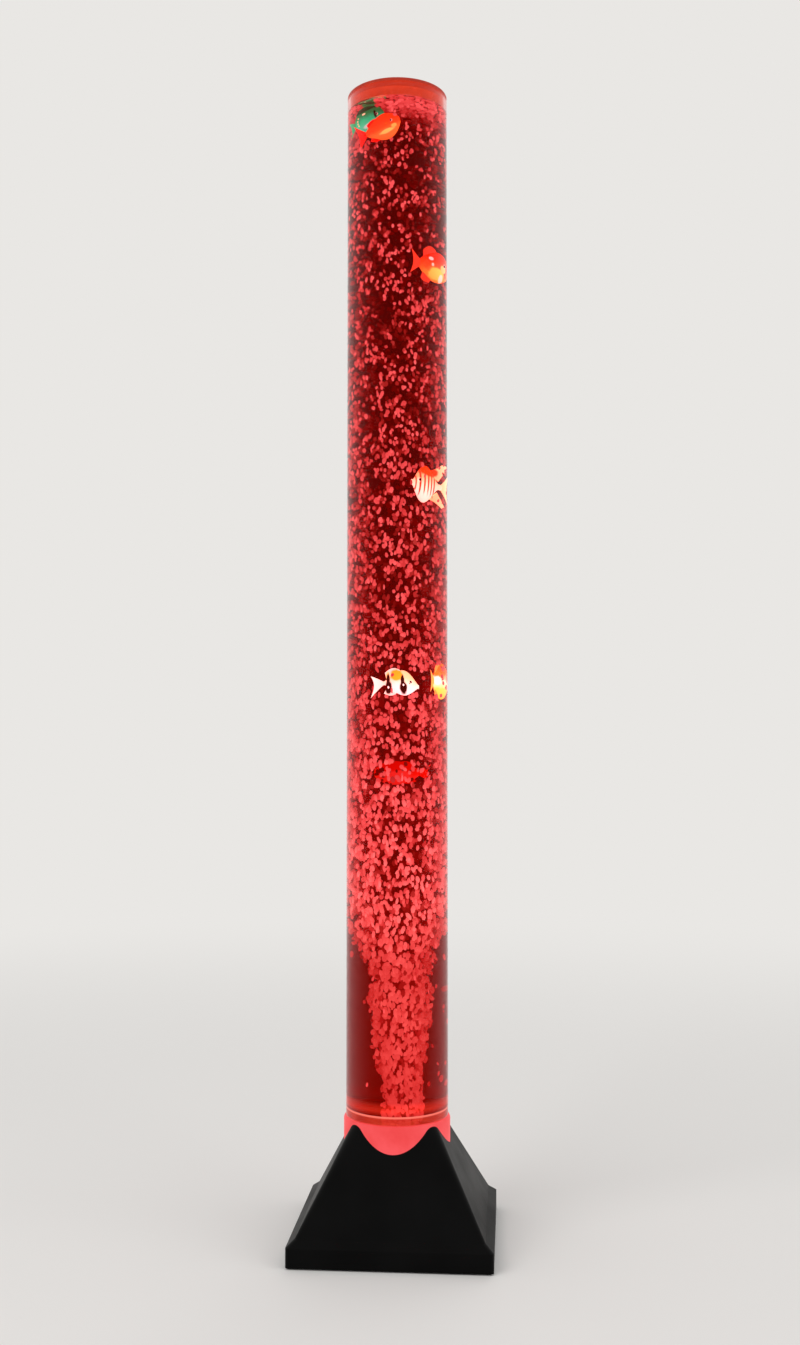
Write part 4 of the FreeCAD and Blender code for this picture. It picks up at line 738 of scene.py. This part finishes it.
def blobTemplate():
    # a ball of 3 rings of 8 points and two poles, 48 triangles
    lift = np.radians([-50, 0, 50])
    turn = np.linspace(0, 2 * np.pi, 8, endpoint=False)
    ring = polar(np.cos(lift)[:, None], turn, np.sin(lift)[:, None])
    points = np.concatenate([ring.reshape(-1, 3), [[0, 0, -1], [0, 0, 1]]])
    return points, stitch(3, 8, True, True)


def makeBubbles(name, places, sizes, levels, random, material):
    # each ball is stretched, made lumpy by a wave round it, leant over, and set down at its place:
    # point = ball * (1 + 0.14 sin 2a + 0.10 sin(3a + 2z)) * size + place
    points, faces = blobTemplate()
    count = len(places)
    turn = random.uniform(0, 2 * np.pi, (count, 1))
    angle = np.arctan2(points[:, 1], points[:, 0])[None] + turn
    lumps = 1 + 0.14 * np.sin(2 * angle + turn * 3) + 0.10 * np.sin(3 * angle + points[None, :, 2] * 2)
    shape = points[None] * lumps[..., None] * sizes[:, None, :]
    lean = random.normal(0, bubbleLook["lean"], (count, 2))
    shape[..., 0] += shape[..., 2] * lean[:, :1]
    shape[..., 1] += shape[..., 2] * lean[:, 1:]
    verts = (shape + places[:, None]).reshape(-1, 3)
    # brighter below, where the light comes from
    glowing = np.clip(levels[:, None] * (1 - 0.04 * points[None, :, 2]), 0, 1).reshape(-1)
    shift = (np.arange(count) * len(points))[:, None, None]
    allFaces = []
    for corners in (3, 4):
        alike = np.array([face for face in faces if len(face) == corners])
        allFaces += (alike[None] + shift).reshape(-1, corners).tolist()
    piece = makePiece(name, verts * mm, allFaces, material, "root", None, {"glow": glowing})


def bubblePlaces(low, high, random):
    # heights follow the table's density; radius = reach * share ^ power, so that most keep to the outside
    table, look = bubbleTable, bubbleLook
    levels = np.linspace(low, high, 400)
    density = np.interp(levels, table[:, 0], table[:, 1])
    total = int(np.trapz(density, levels))
    share = np.cumsum(density) / density.sum()
    height = np.interp(random.uniform(0, 1, total), share, levels)
    columns = (np.interp(height, table[:, 0], column) for column in table.T[2:])
    reach, power, width, tall, level, lean = columns
    below = look["swarmFrom"] - height
    wavy = 1 + np.clip(below / 100, 0, 1) * look["wavy"] * np.sin(height / look["wavyMm"])
    radius = (reach * wavy - width / 2) * random.uniform(0, 1, total) ** power
    bearing = random.uniform(0, 2 * np.pi, total)
    # the plume leans to the right and sways a little on its way up
    sway = lean + np.clip(below / 200, 0, 1) * look["swayMm"] * np.sin(height / look["swayTurnMm"])
    places = np.stack([radius * np.cos(bearing) + sway, radius * np.sin(bearing), height], -1)
    # some hang together: each of these is moved beside another of about its height
    order = np.argsort(height)
    partner = order[np.clip(np.argsort(order) + random.integers(1, 9, total), 0, total - 1)]
    joined = random.uniform(0, 1, total) < look["clusterShare"]
    step = random.normal(0, 1, (total, 3)) * [1, 1, 1.5]
    step *= (look["clusterMm"] / np.linalg.norm(step, axis=1))[:, None]
    beside = places[partner] + step
    inside = np.hypot(beside[:, 0], beside[:, 1]) < np.minimum(reach + 2, look["keepIn"])
    places = np.where((joined & inside)[:, None], beside, places)
    wide = width / 2 * random.uniform(*look["widths"], total)
    sizes = np.stack([wide, wide * random.uniform(*look["depths"], total),
                      tall / 2 * random.uniform(*look["heights"], total)], -1)
    faint = random.uniform(0, 1, total) < look["faintShare"]
    # the ones inside the swarm glow less, a painted shade, so that they show as deep red gaps between the
    # outer ones
    share = np.hypot(places[:, 0] - sway, places[:, 1]) / reach
    outward = np.clip((share - look["innerFrom"]) / look["innerBand"], 0, 1)
    levels = level * random.uniform(*look["glows"], total) * np.where(faint, look["faint"], 1.0)
    levels *= look["inner"] + (1 - look["inner"]) * outward
    return places, sizes, levels


def clearOfFish(places, random):
    # no bubble stands in a fish, and few stand between one and the front of the tube; a fish is an oval as
    # wide and deep as it is when turned, with some room round it: level = sum of ((place - middle) / half)
    # ^ 2
    keep, room = np.ones(len(places), dtype=bool), fishRoom
    for s in fishList.values():
        turn = math.radians(s["turn"])
        reach = s["size"][0] / 2
        half = np.array([reach * abs(math.cos(turn)) + room["sides"],
                         reach * abs(math.sin(turn)) + room["front"], s["size"][1] * room["height"]])
        away = (places - np.array(s["middle"])) / half
        keep &= (away ** 2).sum(-1) > room["nearest"]
        inFront = (away[:, 0] ** 2 + away[:, 2] ** 2 < 1) & (places[:, 1] < s["middle"][1])
        keep &= ~(inFront & (random.uniform(0, 1, len(places)) < s["shown"]))
    return keep


def makeAllBubbles():
    # the swarm in pieces from the bottom up, then the strays beside it and the foam on top
    random = np.random.default_rng(bubbleLook["seed"])
    material = airBubble()
    edges = bubbleLook["edges"]
    for number, (low, high) in enumerate(zip(edges, edges[1:])):
        places, sizes, levels = bubblePlaces(low, high, random)
        keep = clearOfFish(places, random)
        makeBubbles(f"bubbles_{number + 1}", places[keep], sizes[keep], levels[keep], random, material)
    s = strays
    share = random.uniform(0, 1, (5, s["count"]))
    radius = s["near"] + (s["far"] - s["near"]) * share[0]
    bearing = np.where(share[1] < s["onRight"], s["rightReach"] * (2 * share[2] - 1), 2 * np.pi * share[2])
    places = polar(radius, bearing, s["low"] + (s["high"] - s["low"]) * share[3])
    scale = (s["smallest"] + s["spread"] * share[4])[:, None]
    sizes = np.array([s["width"], s["width"], s["height"]]) / 2 * scale
    makeBubbles("stray_bubbles", places, sizes, np.full(s["count"], s["glow"]), random, material)
    s = foam
    radius = s["reach"] * np.sqrt(random.uniform(0, 1, s["count"]))
    bearing = random.uniform(0, 2 * np.pi, s["count"])
    places = polar(radius, bearing, random.uniform(s["low"], s["high"], s["count"]))
    wide = s["width"] / 2 * random.uniform(*s["widths"], s["count"])
    sizes = np.stack([wide, wide, s["height"] / 2 * random.uniform(*s["heights"], s["count"])], -1)
    keep = clearOfFish(places, random)
    makeBubbles("foam", places[keep], sizes[keep], np.full(keep.sum(), s["glow"]), random, material)


# the finishes and the carried-over CAD nodes that have them
nodeFinishes = {
    "blackAbs": ["base_shell"], "coverAbs": ["bottom_cover"], "buttonAbs": ["mode_button"],
    "footRubber": ["rubber_feet", "pump_pads"],
    "silicone": ["tube_seal", "inlet_washer", "pump_hose", "inlet_hose"],
    "zincSteel": ["cover_screws", "cup_screws", "ring_screws", "pump_case_screws", "pivot_pin", "arm_screw",
                  "board_screws"],
    "nickelBrass": ["air_inlet", "inlet_nut"], "magnetNickel": ["pump_magnet"],
    "greyPolypropylene": ["stone_cup", "check_valve", "valve_block"], "pumpNylon": ["pump_tray", "pump_lid"],
    "acetal": ["pump_arm", "switch_plunger"], "bobbinNylon": ["coil_bobbin"],
    "solderMask": ["control_board"], "whiteMask": ["light_ring"],
    "blackEpoxy": ["board_parts", "power_inlet", "mode_switch"],
}


def dressNodes():
    # every node that no piece replaces gets its finish
    ready = {"tube_socket": frostedCup(), "lid": litLid(), "light_chips": lightPackage(),
             "air_stone": sinteredStone(), "pump_core": bandedMetal("laminatedIron"),
             "pump_coil": bandedMetal("copperWinding")}
    for finish, nodes in nodeFinishes.items():
        ready.update(dict.fromkeys(nodes, opaqueFinish(finish)))
    for node, material in ready.items():
        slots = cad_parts[node].data.materials
        slots.clear()
        slots.append(material)


# metres and watts; the floor fades from lit to even from near to far; a lamp is its place, size and power
studio = {"ground": "#e9e7e4", "skyLight": 0.62, "near": 0.7, "far": 2.6, "floorRadius": 9.0,
          "aim": (0, 0, 0.55),
          "lamps": {"keyLamp": ((-1.9, -2.3, 2.4), 2.2, 42.0), "fillLamp": ((2.4, -1.2, 1.6), 2.4, 16.0),
                    "backLamp": ((0.4, 2.6, 2.2), 2.4, 16.0)}}


def stand(holder, place, direction):
    # a lamp or camera at its place, looking in the direction
    holder.location = place
    holder.rotation_mode = "QUATERNION"
    holder.rotation_quaternion = direction.to_track_quat("-Z", "Y")
    bpy.context.scene.collection.objects.link(holder)


def makeStudio():
    # a pale floor that fades into an equally pale ground all round; lamps are large and soft
    s = studio
    world = bpy.data.worlds.new("studioSky")
    bpy.context.scene.world = world
    world.use_nodes = True
    tree = world.node_tree
    tree.nodes.clear()
    # the ground's colour is what cameras, reflections and clear things see; the rest gets the sky's light
    rays = add(tree, "LightPath").outputs
    seen = add(tree, "Math", {"operation": "MAXIMUM"}, {0: rays["Is Camera Ray"], 1: rays["Is Glossy Ray"]})
    seen = add(tree, "Math", {"operation": "MAXIMUM"}, {0: seen, 1: rays["Is Transmission Ray"]})
    light = add(tree, "Background", {"Color": (1, 1, 1, 1), "Strength": s["skyLight"]})
    ground = add(tree, "Background", {"Color": linear(s["ground"]), "Strength": 1.0})
    add(tree, "OutputWorld", {}, {"Surface": add(tree, "MixShader", {}, {0: seen, 1: light, 2: ground})})

    # the floor is matt near the lamp and as even as the ground far from it
    material, tree, place = startMaterial("paleFloor")
    away = add(tree, "VectorMath", {"operation": "LENGTH"}, {0: place}).outputs["Value"]
    share = fade(tree, away, s["near"], s["far"])
    share.interpolation_type = "SMOOTHSTEP"
    matt = add(tree, "BsdfDiffuse", {"Color": linear(s["ground"])})
    even = add(tree, "Emission", {"Color": linear(s["ground"]), "Strength": 1.0})
    endMaterial(material, add(tree, "MixShader", {}, {0: share, 1: matt, 2: even}), None, True)
    radii = np.array([0.2, s["near"], s["far"], s["floorRadius"]])
    rings = turned(np.stack([radii, np.zeros(4)], -1), 64)
    verts = np.concatenate([rings.reshape(-1, 3), [[0, 0, 0]]])
    faces = [face[::-1] for face in stitch(4, 64, True, False)]
    floor = makePiece("studio_floor", verts, faces, material, None)

    for name, (place, size, watts) in s["lamps"].items():
        lamp = bpy.data.lights.new(name, "AREA")
        lamp.size = size
        lamp.energy = watts
        holder = bpy.data.objects.new(name, lamp)
        holder.visible_glossy = False
        holder.visible_transmission = False
        stand(holder, place, Vector(s["aim"]) - Vector(place))


# metres, a direction, and the lens in mm
view = {"place": (0.12089, -1.49721, 0.5181), "forward": (-0.07842, 0.99594, 0.0443), "lens": 38.19}


def makeCamera():
    # stands where the photograph was taken from: close, at the height of the tube's lower half
    camera = bpy.data.objects.new("camera", bpy.data.cameras.new("camera"))
    camera.data.lens = view["lens"]
    stand(camera, view["place"], Vector(view["forward"]))
    bpy.context.scene.camera = camera


bpy.context.scene.view_settings.view_transform = "Standard"
makeCamera()
makeStudio()
print("stage: studio and camera ready")
dressNodes()
print("stage: nodes dressed")
makeTube()
makeWater()
makeSprayFilm()
makeBellows()
for fishName, fishSettings in fishList.items():
    makeFish(fishName, fishSettings)
print("stage: tube, water and fish made")
makeAllBubbles()
print("stage: bubbles made")
